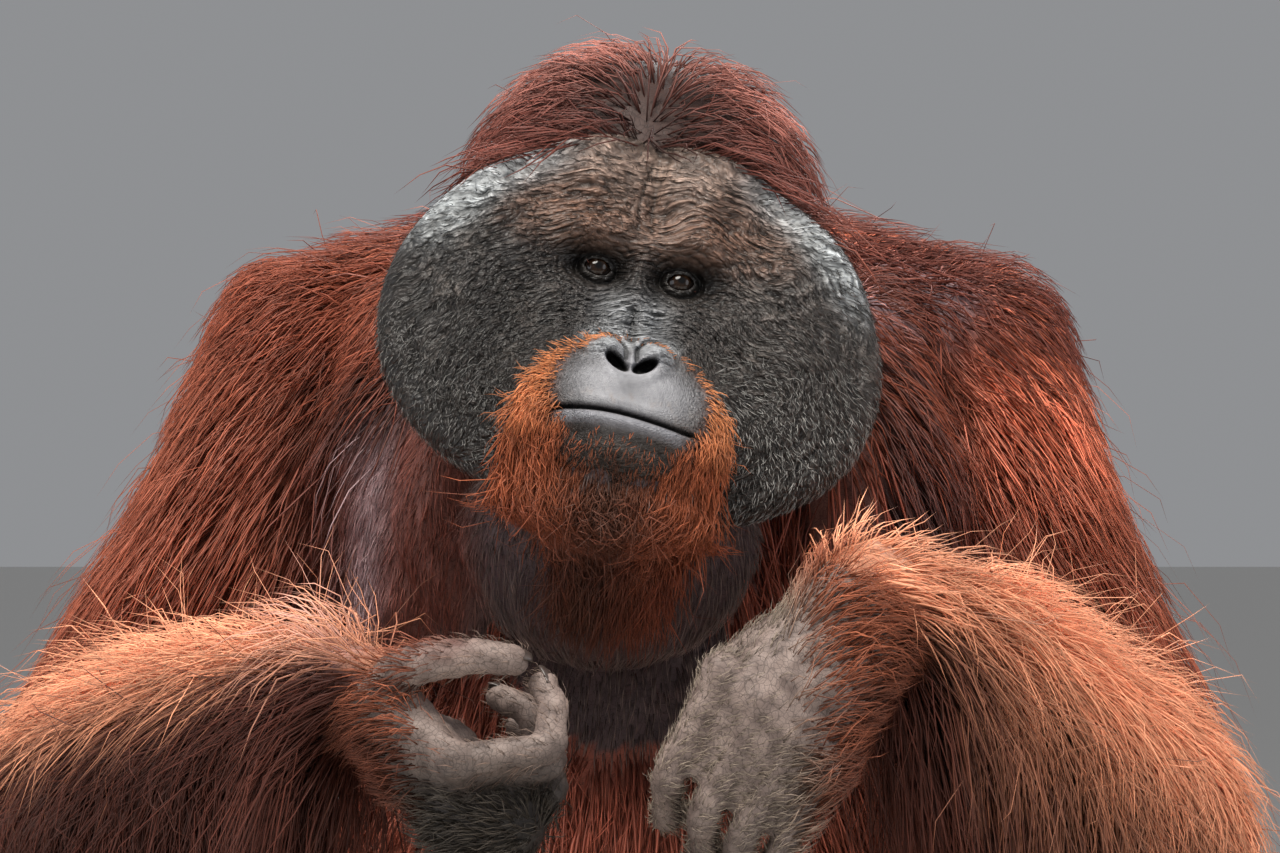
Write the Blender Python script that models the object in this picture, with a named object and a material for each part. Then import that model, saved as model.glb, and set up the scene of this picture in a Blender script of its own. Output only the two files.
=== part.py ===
"""A grown male Bornean orangutan with cheek pads, sitting, as a life-size still model.

Metres, +Z up. The animal faces -Y, so its left side is at +X. It sits on its rump and its two feet, with the
forearms held up in front of the chest over the knees. The body is modelled whole and parted with thin cuts;
the long coat stands on it as flat, tapered locks that follow the lie of the hair.
"""

import math

import bmesh
import bpy
import numpy as np
from mathutils import Matrix, Vector
from mathutils.bvhtree import BVHTree

# Driving dimensions
DISC_WIDTH = 0.334  # across both cheek pads
EYE_SPACING = 0.056  # between the middles of the eyes
HEAD_CENTRE = Vector((-0.007, -0.200, 0.714))  # middle of the facial disc
HEAD_ROLL = math.radians(10.5)  # the animal's left side of the face is the lower one
HEAD_YAW = math.radians(4.0)
HEAD_PITCH = math.radians(-12.0)  # chin up
GAP = 0.0003  # between nodes that touch
CUT_SWELL = GAP * 1.6  # a vertex moves out by this, so that the flat faces between vertices move by about GAP
CORE = 0.011  # how far the plain core stands over the skin, under the locks

WAIST = 0.360  # height of the cut between belly and chest
PAD_CUT = 0.092  # from the face's midline to where a cheek pad starts
DISC_RIM = 0.017  # half the thickness of the disc's rounded rim
EYE_RADIUS = 0.012
EYE_HEIGHT = 0.0365  # above the disc's middle
EYE_FORWARD = -0.0045  # in front of the disc's middle plane
LID_OPENING = 0.0058  # half the height of the gap between the lids
LID_LENGTH = 0.027
LID_SLANT = 0.0008  # how much the outer corner of the eye is the higher one
LID_ROLL = (0.0030, 0.0036)  # half the lid's thickness and half its height
MOUTH_HEIGHT = -0.078
MOUTH_WIDTH = 0.098
EAR_SWING = math.radians(18)  # how far the back of the ear stands off the head
EAR_RADII = (0.015, 0.020, 0.026)
EAR_PLACE = Vector((0.096, 0.060, 0.042))
CUP_RADII = (0.010, 0.011, 0.016)
CRANIUM_PLACE = Vector((0.0, 0.082, 0.100))
CRANIUM_RADII = (0.110, 0.096, 0.110)

# The disc's outline: degrees up from the animal's left, and the radius there in millimetres of a 334 mm disc
DISC_OUTLINE = [
    (25, 154),
    (49, 138),
    (90, 127),
    (129, 136),
    (152, 148),
    (177, 165),
    (195, 168),
    (214, 162),
    (236, 146),
    (249, 139),
    (270, 132),
    (291, 137),
    (315, 156),
    (336, 172),
    (357, 171),
]

# Each lock of the coat
ROOT_DEPTH = 0.011  # how far its root is sunk in the core
ROOT_WIDTH = 0.70  # its width there, as a share of its full width
LOCK_RIDGE = 0.009  # from its flat underside up to its ridge
LEAST_RIDGE = 0.6  # the ridge's height near the tip, as a share of that
TIP_LIFT = 0.0027  # the tip over the underside
LEAST_BULGE = 0.0006  # how far each face stands off the lock's middle line
LOCK_TURN = 0.2  # the most that it turns off the lie, in radians
LENGTH_SPREAD = 0.15  # the most that its length differs from its coat's
SHORTER = (1.0, 0.78, 0.6)  # shares of its length that are tried where something is in its way
# Its stations, as shares of its length, of its width and of its lift
LONG_STATIONS = ((0.40, 1.00, 0.40), (0.74, 0.72, 0.75), (1.00, 0.00, 1.00))
SHORT_STATIONS = ((0.50, 1.00, 0.50), (1.00, 0.00, 1.00))
LOCK_CLEARANCE = 0.0015  # to every other node
FLOOR_CLEARANCE = 0.004
SPOTS_TRIED = 3000  # random points in each coated node's box
PROBE = 0.004  # how far over a root the room to other nodes is measured
SEED = 9

# Every rounded end: two rings on a dome that is this high for its radius
DOME_HEIGHT = 0.75
DOME_ANGLES = np.radians([40.0, 72.0])
DOME_SHRINK = np.cos(DOME_ANGLES)

SHARP_FROM = math.radians(40)  # edges between faces that meet at more than this are drawn sharp

RIGHT, LEFT = -1, 1
SIDE_NAME = {RIGHT: "right", LEFT: "left"}

# Joints, as (right, left) pairs where the pose differs between the sides
HIP = Vector((0.105, 0.030, 0.125))
KNEE = Vector((0.250, -0.170, 0.262))
ANKLE = Vector((0.185, -0.285, 0.062))
SHOULDER = Vector((0.212, 0.070, 0.690))
ELBOW = {RIGHT: Vector((-0.383, -0.010, 0.382)), LEFT: Vector((0.347, -0.010, 0.360))}
WRIST = {RIGHT: Vector((-0.185, -0.305, 0.478)), LEFT: Vector((0.158, -0.268, 0.540))}

# Torso rings from seat to nape: height, middle's depth, half width, half depth, all of the skin
TORSO = [
    (-0.03, 0.065, 0.120, 0.100),
    (0.03, 0.060, 0.175, 0.150),
    (0.12, 0.055, 0.200, 0.182),
    (0.25, 0.050, 0.200, 0.197),
    (0.38, 0.060, 0.184, 0.185),
    (0.50, 0.070, 0.164, 0.165),
    (0.60, 0.080, 0.157, 0.146),
    (0.69, 0.086, 0.152, 0.124),
    (0.75, 0.092, 0.132, 0.098),
    (0.79, 0.092, 0.098, 0.070),
]


def side_of(point, side):
    """The point for the animal's left, or its mirror image for its right."""
    return Vector((point.x * side, point.y, point.z))


# Small mesh tools


def clear_scene():
    for obj in list(bpy.data.objects):
        bpy.data.objects.remove(obj)


def object_from(name, points, faces):
    mesh = bpy.data.meshes.new(name)
    mesh.from_pydata([tuple(p) for p in points], [], [tuple(f) for f in faces])
    mesh.update()
    obj = bpy.data.objects.new(name, mesh)
    bpy.context.scene.collection.objects.link(obj)
    return obj


def remove(obj):
    mesh = obj.data
    bpy.data.objects.remove(obj)
    bpy.data.meshes.remove(mesh)


def apply_modifiers(obj):
    """Replaces the object's mesh by the one its modifiers make."""
    graph = bpy.context.evaluated_depsgraph_get()
    graph.update()
    made = bpy.data.meshes.new_from_object(obj.evaluated_get(graph))
    obj.modifiers.clear()
    old, name = obj.data, obj.data.name
    obj.data = made
    bpy.data.meshes.remove(old)
    made.name = name


def combine(obj, others, operation, solver="MANIFOLD"):
    """One Boolean of obj with a collection of closed meshes, which are then removed."""
    group = bpy.data.collections.new("operands")
    for other in others:
        group.objects.link(other)
    boolean = obj.modifiers.new("combine", "BOOLEAN")
    boolean.operation = operation
    boolean.operand_type = "COLLECTION"
    boolean.collection = group
    boolean.solver = solver
    apply_modifiers(obj)
    for other in others:
        remove(other)
    bpy.data.collections.remove(group)


def keep_largest(obj):
    """Drops every closed surface of the mesh but the one with the largest volume."""
    work = bmesh.new()
    work.from_mesh(obj.data)
    shells = shells_of(work)
    best = max(shells, key=lambda shell: shell[1])[0]
    bmesh.ops.delete(work, geom=[f for f in work.faces if f not in best], context="FACES")
    work.to_mesh(obj.data)
    work.free()


def shells_of(work):
    """(set of faces, volume) of each closed surface. Two that touch at one point or edge count as two."""
    bmesh.ops.triangulate(work, faces=work.faces)
    seen, shells = set(), []
    for start in work.faces:
        if start in seen:
            continue
        stack, members = [start], {start}
        while stack:
            for edge in stack.pop().edges:
                if len(edge.link_faces) != 2:
                    continue
                for face in edge.link_faces:
                    if face not in members:
                        members.add(face)
                        stack.append(face)
        seen |= members
        volume = sum(f.verts[0].co.dot(f.verts[1].co.cross(f.verts[2].co)) for f in members) / 6
        shells.append((members, volume))
    return shells


def triangulate(obj):
    work = bmesh.new()
    work.from_mesh(obj.data)
    bmesh.ops.triangulate(work, faces=work.faces)
    work.to_mesh(obj.data)
    work.free()


def inflated_copy(obj, by):
    """A copy of the object with each vertex moved out along its normal. Both are left as triangles, so that a
    bent four-sided face can't part along one diagonal here and along the other there."""
    triangulate(obj)
    copy = obj.copy()
    copy.data = obj.data.copy()
    bpy.context.scene.collection.objects.link(copy)
    normals = [v.normal.copy() for v in copy.data.vertices]
    for vert, normal in zip(copy.data.vertices, normals):
        vert.co += normal * by
    return copy


def carve(obj, neighbours):
    """Cuts obj back so that it meets its neighbours face to face, a small gap apart. Each neighbour is cut out
    as it is too, because its moved copy folds over itself in a crease."""
    for by in (CUT_SWELL, 0.0):
        combine(obj, [inflated_copy(n, by) for n in neighbours], "DIFFERENCE")
    keep_largest(obj)


def smooth_path(points, per_span):
    """Points on a Catmull-Rom curve through the given rows of numbers, the first and last included."""
    rows = np.array([list(p) for p in points], float)
    padded = np.vstack([2 * rows[0] - rows[1], rows, 2 * rows[-1] - rows[-2]])
    t = np.linspace(0, 1, per_span, endpoint=False)[:, None]
    spans = []
    for a, b, c, d in zip(padded, padded[1:], padded[2:], padded[3:]):
        spans.append(
            b + 0.5 * ((c - a) * t + (2 * a - 5 * b + 4 * c - d) * t**2 + (3 * b - a - 3 * c + d) * t**3)
        )
    return np.vstack(spans + [rows[-1:]])


def dome_reach(width, depth):
    """How far past a rounded end each of the dome's rings lies."""
    return DOME_HEIGHT * min(width, depth) * np.sin(DOME_ANGLES)[:, None]


def loft(name, stations, across, sides=12, per_span=3, round_ends=True):
    """A closed tube through stations of (point, half width, half depth). Each ring is an ellipse square to the
    path, its width along the direction `across`. Rounded ends get extra rings that shrink as a dome does."""
    rows = smooth_path([[*p, w, d] for p, w, d in stations], per_span)
    centres, widths, depths = rows[:, :3], rows[:, 3], rows[:, 4]
    tangents = np.gradient(centres, axis=0)
    tangents /= np.linalg.norm(tangents, axis=1)[:, None]
    if round_ends:
        first, last = dome_reach(widths[0], depths[0]), dome_reach(widths[-1], depths[-1])
        before, after = centres[0] - first[::-1] * tangents[0], centres[-1] + last * tangents[-1]
        centres = np.vstack([before, centres, after])
        widths = np.hstack([widths[0] * DOME_SHRINK[::-1], widths, widths[-1] * DOME_SHRINK])
        depths = np.hstack([depths[0] * DOME_SHRINK[::-1], depths, depths[-1] * DOME_SHRINK])
        tangents = np.vstack([tangents[:1]] * len(first) + [tangents] + [tangents[-1:]] * len(last))
    across = np.array(across, float)
    u = across - tangents * (tangents @ across)[:, None]
    u /= np.linalg.norm(u, axis=1)[:, None]
    v = np.cross(tangents, u)
    angle = np.linspace(0, 2 * math.pi, sides, endpoint=False)
    ring = (
        centres[:, None]
        + u[:, None] * (widths[:, None] * np.cos(angle))[..., None]
        + v[:, None] * (depths[:, None] * np.sin(angle))[..., None]
    )
    count = len(centres)
    points = list(ring.reshape(-1, 3))
    faces = [
        (i * sides + j, i * sides + (j + 1) % sides, (i + 1) * sides + (j + 1) % sides, (i + 1) * sides + j)
        for i in range(count - 1)
        for j in range(sides)
    ]
    points += [centres[0], centres[-1]]
    first, last = count * sides, count * sides + 1
    faces += [(first, (j + 1) % sides, j) for j in range(sides)]
    base = (count - 1) * sides
    faces += [(last, base + j, base + (j + 1) % sides) for j in range(sides)]
    return object_from(name, points, faces)


def ellipsoid(name, centre, radii, rings=10, sides=16, turn=None):
    """A closed ball of three radii with its poles on its own z axis."""
    around = np.linspace(0, 2 * math.pi, sides, endpoint=False)
    unit = [(0.0, 0.0, -1.0)]
    for rise in np.linspace(-math.pi / 2, math.pi / 2, rings + 1)[1:-1]:
        unit += [(math.cos(rise) * math.cos(a), math.cos(rise) * math.sin(a), math.sin(rise)) for a in around]
    unit.append((0.0, 0.0, 1.0))
    top = len(unit) - 1
    faces = [(0, 1 + (j + 1) % sides, 1 + j) for j in range(sides)]
    for low in range(1, top - sides, sides):
        for j in range(sides):
            k = (j + 1) % sides
            faces.append((low + j, low + k, low + sides + k, low + sides + j))
    faces += [(top, top - sides + j, top - sides + (j + 1) % sides) for j in range(sides)]
    place = Matrix.Translation(centre) @ (turn or Matrix.Identity(3)).to_4x4() @ Matrix.Diagonal((*radii, 1))
    return object_from(name, [place @ Vector(p) for p in unit], faces)


def block(centre, turn, sides):
    """A box of three side lengths, turned by a 3 x 3 matrix."""
    corners = [(x, y, z) for z in (-0.5, 0.5) for x, y in ((-0.5, -0.5), (0.5, -0.5), (0.5, 0.5), (-0.5, 0.5))]
    faces = [(3, 2, 1, 0), (4, 5, 6, 7)] + [(j, (j + 1) % 4, 4 + (j + 1) % 4, 4 + j) for j in range(4)]
    place = Matrix.Translation(centre) @ turn.to_4x4() @ Matrix.Diagonal((*sides, 1))
    return object_from("block", [place @ Vector(c) for c in corners], faces)


def cut_flat(obj, point, normal):
    """Keeps what lies on the normal's side of a plane, closed with a flat face."""
    work = bmesh.new()
    work.from_mesh(obj.data)
    geom = work.verts[:] + work.edges[:] + work.faces[:]
    bmesh.ops.bisect_plane(work, geom=geom, plane_co=point, plane_no=normal, clear_inner=True, dist=1e-6)
    edges = [e for e in work.edges if e.is_boundary]
    bmesh.ops.triangle_fill(work, edges=edges, use_beauty=True)
    bmesh.ops.recalc_face_normals(work, faces=work.faces)
    work.to_mesh(obj.data)
    work.free()


# The trunk, the neck and the limbs, each a loft that its neighbours are cut out of


def limb(name, stations, across, sides=12, per_span=2):
    """A loft whose radii are those of the skin plus the core of the coat."""
    return loft(name, [(p, w + CORE, d + CORE) for p, w, d in stations], across, sides, per_span)


def trunk_nodes():
    """Belly and chest, parted at the waist by a level cut, the belly cut flat where it sits."""
    rings = [(Vector((0, y, z)), w, d) for z, y, w, d in TORSO]
    belly = limb("belly", rings, (1, 0, 0), sides=20, per_span=1)
    chest = limb("chest", rings, (1, 0, 0), sides=20, per_span=1)
    cut_flat(belly, (0, 0, 0), (0, 0, 1))
    cut_flat(belly, (0, 0, WAIST - GAP / 2), (0, 0, -1))
    cut_flat(chest, (0, 0, WAIST + GAP / 2), (0, 0, 1))
    return {"belly": belly, "chest": chest}


def neck_node(neighbours):
    rings = [
        (Vector((0.0, 0.120, 0.700)), 0.120, 0.110),
        (Vector((0.0, 0.020, 0.725)), 0.105, 0.105),
        (Vector((0.0, -0.090, 0.735)), 0.088, 0.092),
    ]
    neck = limb("neck", rings, (1, 0, 0))
    carve(neck, neighbours)
    return neck


def arm_nodes(side, chest, neck):
    """Upper arm, with the shoulder's girdle, and forearm down to the wrist."""
    tag = SIDE_NAME[side]
    shoulder, elbow, wrist = side_of(SHOULDER, side), ELBOW[side], WRIST[side]
    inner = shoulder + Vector((-side * 0.100, 0.010, 0.025))
    upper = limb(
        "upper_arm_" + tag,
        [
            (shoulder + Vector((0, 0, 0.010)), 0.072, 0.080),
            (shoulder.lerp(elbow, 0.35), 0.060, 0.074),
            (shoulder.lerp(elbow, 0.70), 0.054, 0.064),
            (elbow, 0.050, 0.056),
        ],
        (1, 0, 0),
    )
    combine(upper, [limb("girdle", [(inner, 0.082, 0.072), (shoulder, 0.076, 0.072)], (0, 1, 0))], "UNION")
    carve(upper, [chest, neck])
    fore = limb(
        "forearm_" + tag,
        [
            (elbow, 0.050, 0.052),
            (elbow.lerp(wrist, 0.30), 0.056, 0.058),
            (elbow.lerp(wrist, 0.65), 0.044, 0.046),
            (wrist, 0.025, 0.029),
            (wrist + (wrist - elbow).normalized() * 0.03, 0.023, 0.027),
        ],
        (0, 0, 1),
    )
    cut_flat(fore, wrist, (elbow - wrist).normalized())
    carve(fore, [upper])
    return {upper.name: upper, fore.name: fore}


def leg_nodes(side, belly):
    """Thigh and shank, the knee drawn up beside the belly."""
    tag = SIDE_NAME[side]
    hip, knee, ankle = side_of(HIP, side), side_of(KNEE, side), side_of(ANKLE, side)
    thigh = limb(
        "thigh_" + tag,
        [(hip, 0.092, 0.085), (hip.lerp(knee, 0.5), 0.076, 0.072), (knee, 0.055, 0.052)],
        (1, 0, 0),
    )
    cut_flat(thigh, (0, 0, 0), (0, 0, 1))
    carve(thigh, [belly])
    shank = limb(
        "shank_" + tag,
        [
            (knee, 0.048, 0.046),
            (knee.lerp(ankle, 0.4), 0.046, 0.046),
            (ankle, 0.030, 0.034),
            (ankle + (ankle - knee) * 0.12, 0.028, 0.032),
        ],
        (1, 0, 0),
    )
    cut_flat(shank, ankle, (knee - ankle).normalized())
    carve(shank, [thigh, belly])
    return {thigh.name: thigh, shank.name: shank}


# The head: its own axes are x to the animal's left, y to its back and z up, from the middle of the facial disc


def head_turn():
    turn = Matrix.Rotation(HEAD_YAW, 3, "Z") @ Matrix.Rotation(HEAD_ROLL, 3, "Y")
    return turn @ Matrix.Rotation(HEAD_PITCH, 3, "X")


def on_head(x, y, z):
    return HEAD_CENTRE + head_turn() @ Vector((x, y, z))


def outline_radius(angle):
    """The disc's radius at an angle from its left side upwards, smoothed round the full turn."""
    degrees, radius = np.array(DISC_OUTLINE, float).T
    fine = np.arange(0, 360, 1.0)
    raw = np.interp(fine, degrees, radius, period=360)
    window = np.hanning(29)
    window /= window.sum()
    smooth = np.convolve(np.tile(raw, 3), window, "same")[360:720]
    return np.interp(np.degrees(angle) % 360, fine, smooth, period=360) * DISC_WIDTH / 334


def bump(x, z, cx, cz, wide, high, out):
    """A rounded swelling of the face, or a hollow where `out` is below nought."""
    return out * np.exp(-(((x - cx) / wide) ** 2) - ((z - cz) / high) ** 2)


def face_relief(x, z):
    """How far the skin of the face stands in front of the disc's middle plane."""
    side = np.abs(x)
    # The cheek pads stand forward as two upright swellings
    relief = 0.010 + 0.024 * np.exp(-(((side - 0.112) / 0.042) ** 2)) * np.exp(-(((z + 0.010) / 0.120) ** 4))
    # Two bulges of the forehead, with a groove between them
    relief += bump(side, z, 0.034, 0.100, 0.030, 0.030, 0.015)
    relief -= 0.005 * np.exp(-((x / 0.006) ** 2)) * np.clip((z - 0.066) / 0.02, 0, 1)
    # Brow, eye hollow, the fold under the eye, and the bridge of the nose
    relief += bump(side, z, 0.032, 0.060, 0.028, 0.011, 0.013)
    relief += bump(side, z, EYE_SPACING / 2 + 0.001, 0.0375, 0.021, 0.013, -0.021)
    relief += bump(side, z, 0.044, 0.010, 0.024, 0.016, 0.008)
    relief += bump(x, z, 0.0, 0.016, 0.011, 0.026, 0.012)
    # The muzzle, as a broad dome with a steep edge
    around = (x / 0.084) ** 2 + ((z + 0.078) / 0.064) ** 2
    relief += 0.078 * np.exp(-1.25 * around**1.7)
    # Wings of the nose, its septum, and the hollow over the chin
    relief += bump(side, z, 0.016, -0.029, 0.010, 0.009, 0.009)
    relief += bump(x, z, 0.0, -0.034, 0.006, 0.010, 0.004)
    relief -= bump(x, z, 0.0, -0.112, 0.060, 0.012, 0.006)
    return relief


def face_disc():
    """The broad facial disc as a closed plate: rings of the relief outwards, a round rim, then the back."""
    turns, rings = 38, 13
    angle = np.linspace(0, 2 * math.pi, turns, endpoint=False)
    edge = outline_radius(angle) - DISC_RIM
    rows = []
    for share in np.linspace(1, 0, rings, endpoint=False)[::-1]:
        x, z = edge * share * np.cos(angle), edge * share * np.sin(angle)
        rows.append(np.stack([x, -face_relief(x, z), z], 1))
    front = -rows[-1][:, 1]
    for bend in np.radians([30, 65, 100, 140, 180]):
        radius = edge + DISC_RIM * math.sin(bend)
        depth = DISC_RIM * (1 - math.cos(bend)) - front
        rows.append(np.stack([radius * np.cos(angle), depth, radius * np.sin(angle)], 1))
    for share, depth in ((0.80, 0.022), (0.45, 0.045)):
        radius = edge * share
        rows.append(np.stack([radius * np.cos(angle), np.full(turns, depth), radius * np.sin(angle)], 1))
    points = np.vstack(rows)
    count = len(rows)
    faces = [
        (i * turns + j, (i + 1) * turns + j, (i + 1) * turns + (j + 1) % turns, i * turns + (j + 1) % turns)
        for i in range(count - 1)
        for j in range(turns)
    ]
    middle, back = count * turns, count * turns + 1
    points = np.vstack([points, [0, -float(face_relief(np.zeros(1), np.zeros(1))[0]), 0], [0, 0.045, 0]])
    faces += [(middle, j, (j + 1) % turns) for j in range(turns)]
    last = (count - 1) * turns
    faces += [(back, last + (j + 1) % turns, last + j) for j in range(turns)]
    turn = np.array(head_turn())
    return object_from("head", points @ turn.T + np.array(HEAD_CENTRE), faces)


def on_face(x, z, lift=0.0):
    """A point on the skin of the face, lifted off it by some depth."""
    return on_head(x, -float(face_relief(np.array(x), np.array(z))) - lift, z)


def eye_middle(side):
    return on_head(side * EYE_SPACING / 2, -EYE_FORWARD, EYE_HEIGHT)


def lid(side, way):
    """One eyelid: a thin roll along half of the almond-shaped opening, wrapped round the eyeball."""
    middle = eye_middle(side)
    stations = []
    for share in np.linspace(-1, 1, 5):
        x = share * LID_LENGTH / 2
        z = way * LID_OPENING * (1 - share**2) + LID_SLANT * side * share
        y = -math.sqrt(max(EYE_RADIUS**2 - x * x - z * z, 1e-6))
        stations.append((middle + head_turn() @ Vector((x, y, z)), *LID_ROLL))
    return loft("lid", stations, head_turn() @ Vector((0, 1, 0)), sides=5, per_span=1)


def lip(name, drop, thick, lift, half_width):
    """A roll of flesh that runs with the line of the mouth."""
    stations = []
    for share in np.linspace(-1, 1, 7):
        x = share * half_width
        fade = 0.45 + 0.55 * (1 - share**2)
        stations.append((on_face(x, mouth_height(x) + drop, lift), thick * fade, thick * fade * 0.8))
    return loft(name, stations, head_turn() @ Vector((0, 0, 1)), sides=6, per_span=1)


def mouth_height(x):
    """The line of the mouth: a shallow bow with the corners turned down."""
    return MOUTH_HEIGHT + 0.004 * math.cos(math.pi * x / 0.060) - 0.004


def mouth_slit():
    stations = []
    for share in np.linspace(-1, 1, 7):
        x = share * MOUTH_WIDTH / 2
        stations.append((on_face(x, mouth_height(x), 0.0), 0.0016, 0.0070))
    return loft("slit", stations, head_turn() @ Vector((0, 0, 1)), sides=6, per_span=1)


def ear(side):
    """A small cupped ear: a flat oval with a hollow cut in its outer face."""
    middle = on_head(*side_of(EAR_PLACE, side))
    turn = head_turn() @ Matrix.Rotation(-side * EAR_SWING, 3, "Z")
    shell = ellipsoid("ear_" + SIDE_NAME[side], middle, EAR_RADII, 7, 10, turn)
    hollow = ellipsoid("cup", middle + turn @ Vector((side * 0.0165, -0.002, 0.002)), CUP_RADII, 5, 8, turn)
    combine(shell, [hollow], "DIFFERENCE")
    return shell


def seat_ear(obj, side):
    """Cuts the ear flat where it meets the head: the plane touches the cranium's ball, one gap outside it, at the
    point of the ball that lies on the line from its centre to the ear."""
    away = side_of(EAR_PLACE, side) - CRANIUM_PLACE
    share = Vector([a / r for a, r in zip(away, CRANIUM_RADII)]).normalized()
    point = CRANIUM_PLACE + Vector([s * r for s, r in zip(share, CRANIUM_RADII)])
    normal = Vector([s / r for s, r in zip(share, CRANIUM_RADII)]).normalized()
    cut_flat(obj, on_head(*(point + normal * GAP)), head_turn() @ normal)


def head_nodes():
    """Head, cheek pads, eyes and ears."""
    turn = head_turn()
    head = face_disc()
    forms = [
        ellipsoid("cranium", on_head(*CRANIUM_PLACE), CRANIUM_RADII, 9, 14, turn),
        ellipsoid("beard", on_head(0.004, -0.040, -0.116), (0.078, 0.040, 0.046), 7, 12, turn),
        ellipsoid("jaw", on_head(0, 0.045, -0.040), (0.085, 0.080, 0.078), 7, 12, turn),
        lip("upper_lip", 0.0075, 0.0080, -0.0050, 0.048),
        lip("lower_lip", -0.0070, 0.0070, -0.0030, 0.042),
    ]
    for side in (RIGHT, LEFT):
        forms += [lid(side, 1), lid(side, -1)]
    combine(head, forms, "UNION")
    cuts = [mouth_slit()]
    for side in (RIGHT, LEFT):
        cuts.append(ellipsoid("socket", eye_middle(side), [EYE_RADIUS + GAP] * 3, 8, 14, turn))
        nostril, slant = on_face(side * 0.0095, -0.0365, 0.001), turn @ Matrix.Rotation(side * 0.5, 3, "Y")
        cuts.append(ellipsoid("nostril", nostril, (0.0050, 0.0090, 0.0040), 6, 8, slant))
        cuts.append(block(on_head(side * PAD_CUT, 0, 0), turn, (GAP, 0.20, 0.50)))
    combine(head, cuts, "DIFFERENCE")
    nodes = part_shells(head, {
        "head": on_head(0, 0, 0),
        "cheek_pad_right": on_head(-0.13, 0, -0.02),
        "cheek_pad_left": on_head(0.13, 0, -0.02),
    })
    for side in (RIGHT, LEFT):
        name = "eye_" + SIDE_NAME[side]
        nodes[name] = ellipsoid(name, eye_middle(side), [EYE_RADIUS] * 3, 8, 14, turn)
        nodes["ear_" + SIDE_NAME[side]] = ear(side)
    return nodes


def part_shells(obj, labels):
    """Splits a mesh into its closed surfaces, each named by the label whose point is nearest to its middle."""
    work = bmesh.new()
    work.from_mesh(obj.data)
    parts = {}
    for members, volume in sorted(shells_of(work), key=lambda shell: -shell[1]):
        corners = {v for f in members for v in f.verts}
        middle = sum((v.co for v in corners), Vector()) / len(corners)
        name = min(labels, key=lambda label: (labels[label] - middle).length)
        if name in parts:
            continue
        order = sorted(corners, key=lambda v: v.index)
        place = {v: i for i, v in enumerate(order)}
        faces = [[place[v] for v in f.verts] for f in sorted(members, key=lambda f: f.index)]
        parts[name] = (name, [v.co.copy() for v in order], faces)
    work.free()
    remove(obj)
    return {name: object_from(*made) for name, made in parts.items()}


def throat_node(head, neck, chest):
    """The loose throat pouch under the chin, with the fold that hangs from the right cheek pad."""
    pouch = ellipsoid("throat_pouch", Vector((-0.020, -0.150, 0.572)), (0.108, 0.095, 0.092), 8, 14)
    fold = loft(
        "fold",
        [
            (Vector((-0.125, -0.110, 0.660)), 0.030, 0.034),
            (Vector((-0.138, -0.130, 0.590)), 0.032, 0.036),
            (Vector((-0.120, -0.125, 0.520)), 0.026, 0.030),
        ],
        (1, 0, 0),
        sides=8,
        per_span=2,
    )
    combine(pouch, [fold], "UNION")
    carve(pouch, [head, neck, chest])
    return pouch


# Hands and feet


def digit(name, joints, radius, across, plain=False, tip=0.80):
    """A finger or toe through its joints, narrower towards its tip and, unless plain, thicker at each joint."""
    points = [Vector(j) for j in joints]
    count = len(points) - 1
    stations = []
    for i, point in enumerate(points):
        taper = 1 - (1 - tip) * i / count
        stations.append((point, radius * taper, radius * taper * 1.06))
        if i < count and not plain:
            stations.append((point.lerp(points[i + 1], 0.5), radius * taper * 0.93, radius * taper))
    return loft(name, stations, across, sides=6, per_span=1)


DIGIT_RADIUS = 0.0112
FINGER_RADIUS = {"thumb": 0.0140, "little": 0.0100}
TOE_SPACING = 0.0232
FIRST_TOE_RADIUS = 0.0125
HAND_BREADTH = {RIGHT: Vector((0.0, 0.065, -0.012)), LEFT: Vector((0.067, 0.004, -0.060))}
KNUCKLES = {RIGHT: Vector((-0.111, -0.333, 0.426)), LEFT: Vector((0.087, -0.316, 0.462))}
# Joints of each digit from knuckle to tip, in millimetres
FINGERS = {
    RIGHT: {
        "index": [(-113, -367, 432), (-50, -357, 449), (-53, -336, 482), (-64, -322, 498)],
        "middle": [(-108, -344, 424), (-44, -331, 436), (-50, -309, 466), (-66, -299, 479)],
        "ring": [(-108, -321, 420), (-50, -305, 428), (-58, -285, 455), (-74, -279, 466)],
        "little": [(-114, -299, 420), (-66, -281, 424), (-73, -264, 446), (-88, -261, 455)],
        "thumb": [(-165, -334, 482), (-135, -354, 503), (-98, -354, 515), (-70, -345, 512)],
    },
    LEFT: {
        "index": [(53, -318, 492), (18, -314, 424), (17, -285, 397), (22, -262, 399)],
        "middle": [(76, -321, 472), (41, -317, 400), (40, -286, 371), (45, -263, 372)],
        "ring": [(98, -318, 452), (65, -313, 384), (63, -283, 357), (67, -262, 359)],
        "little": [(119, -311, 434), (89, -304, 374), (87, -278, 350), (90, -260, 352)],
        "thumb": [(125, -272, 528), (83, -272, 512), (52, -268, 490), (40, -266, 468)],
    },
}


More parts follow.
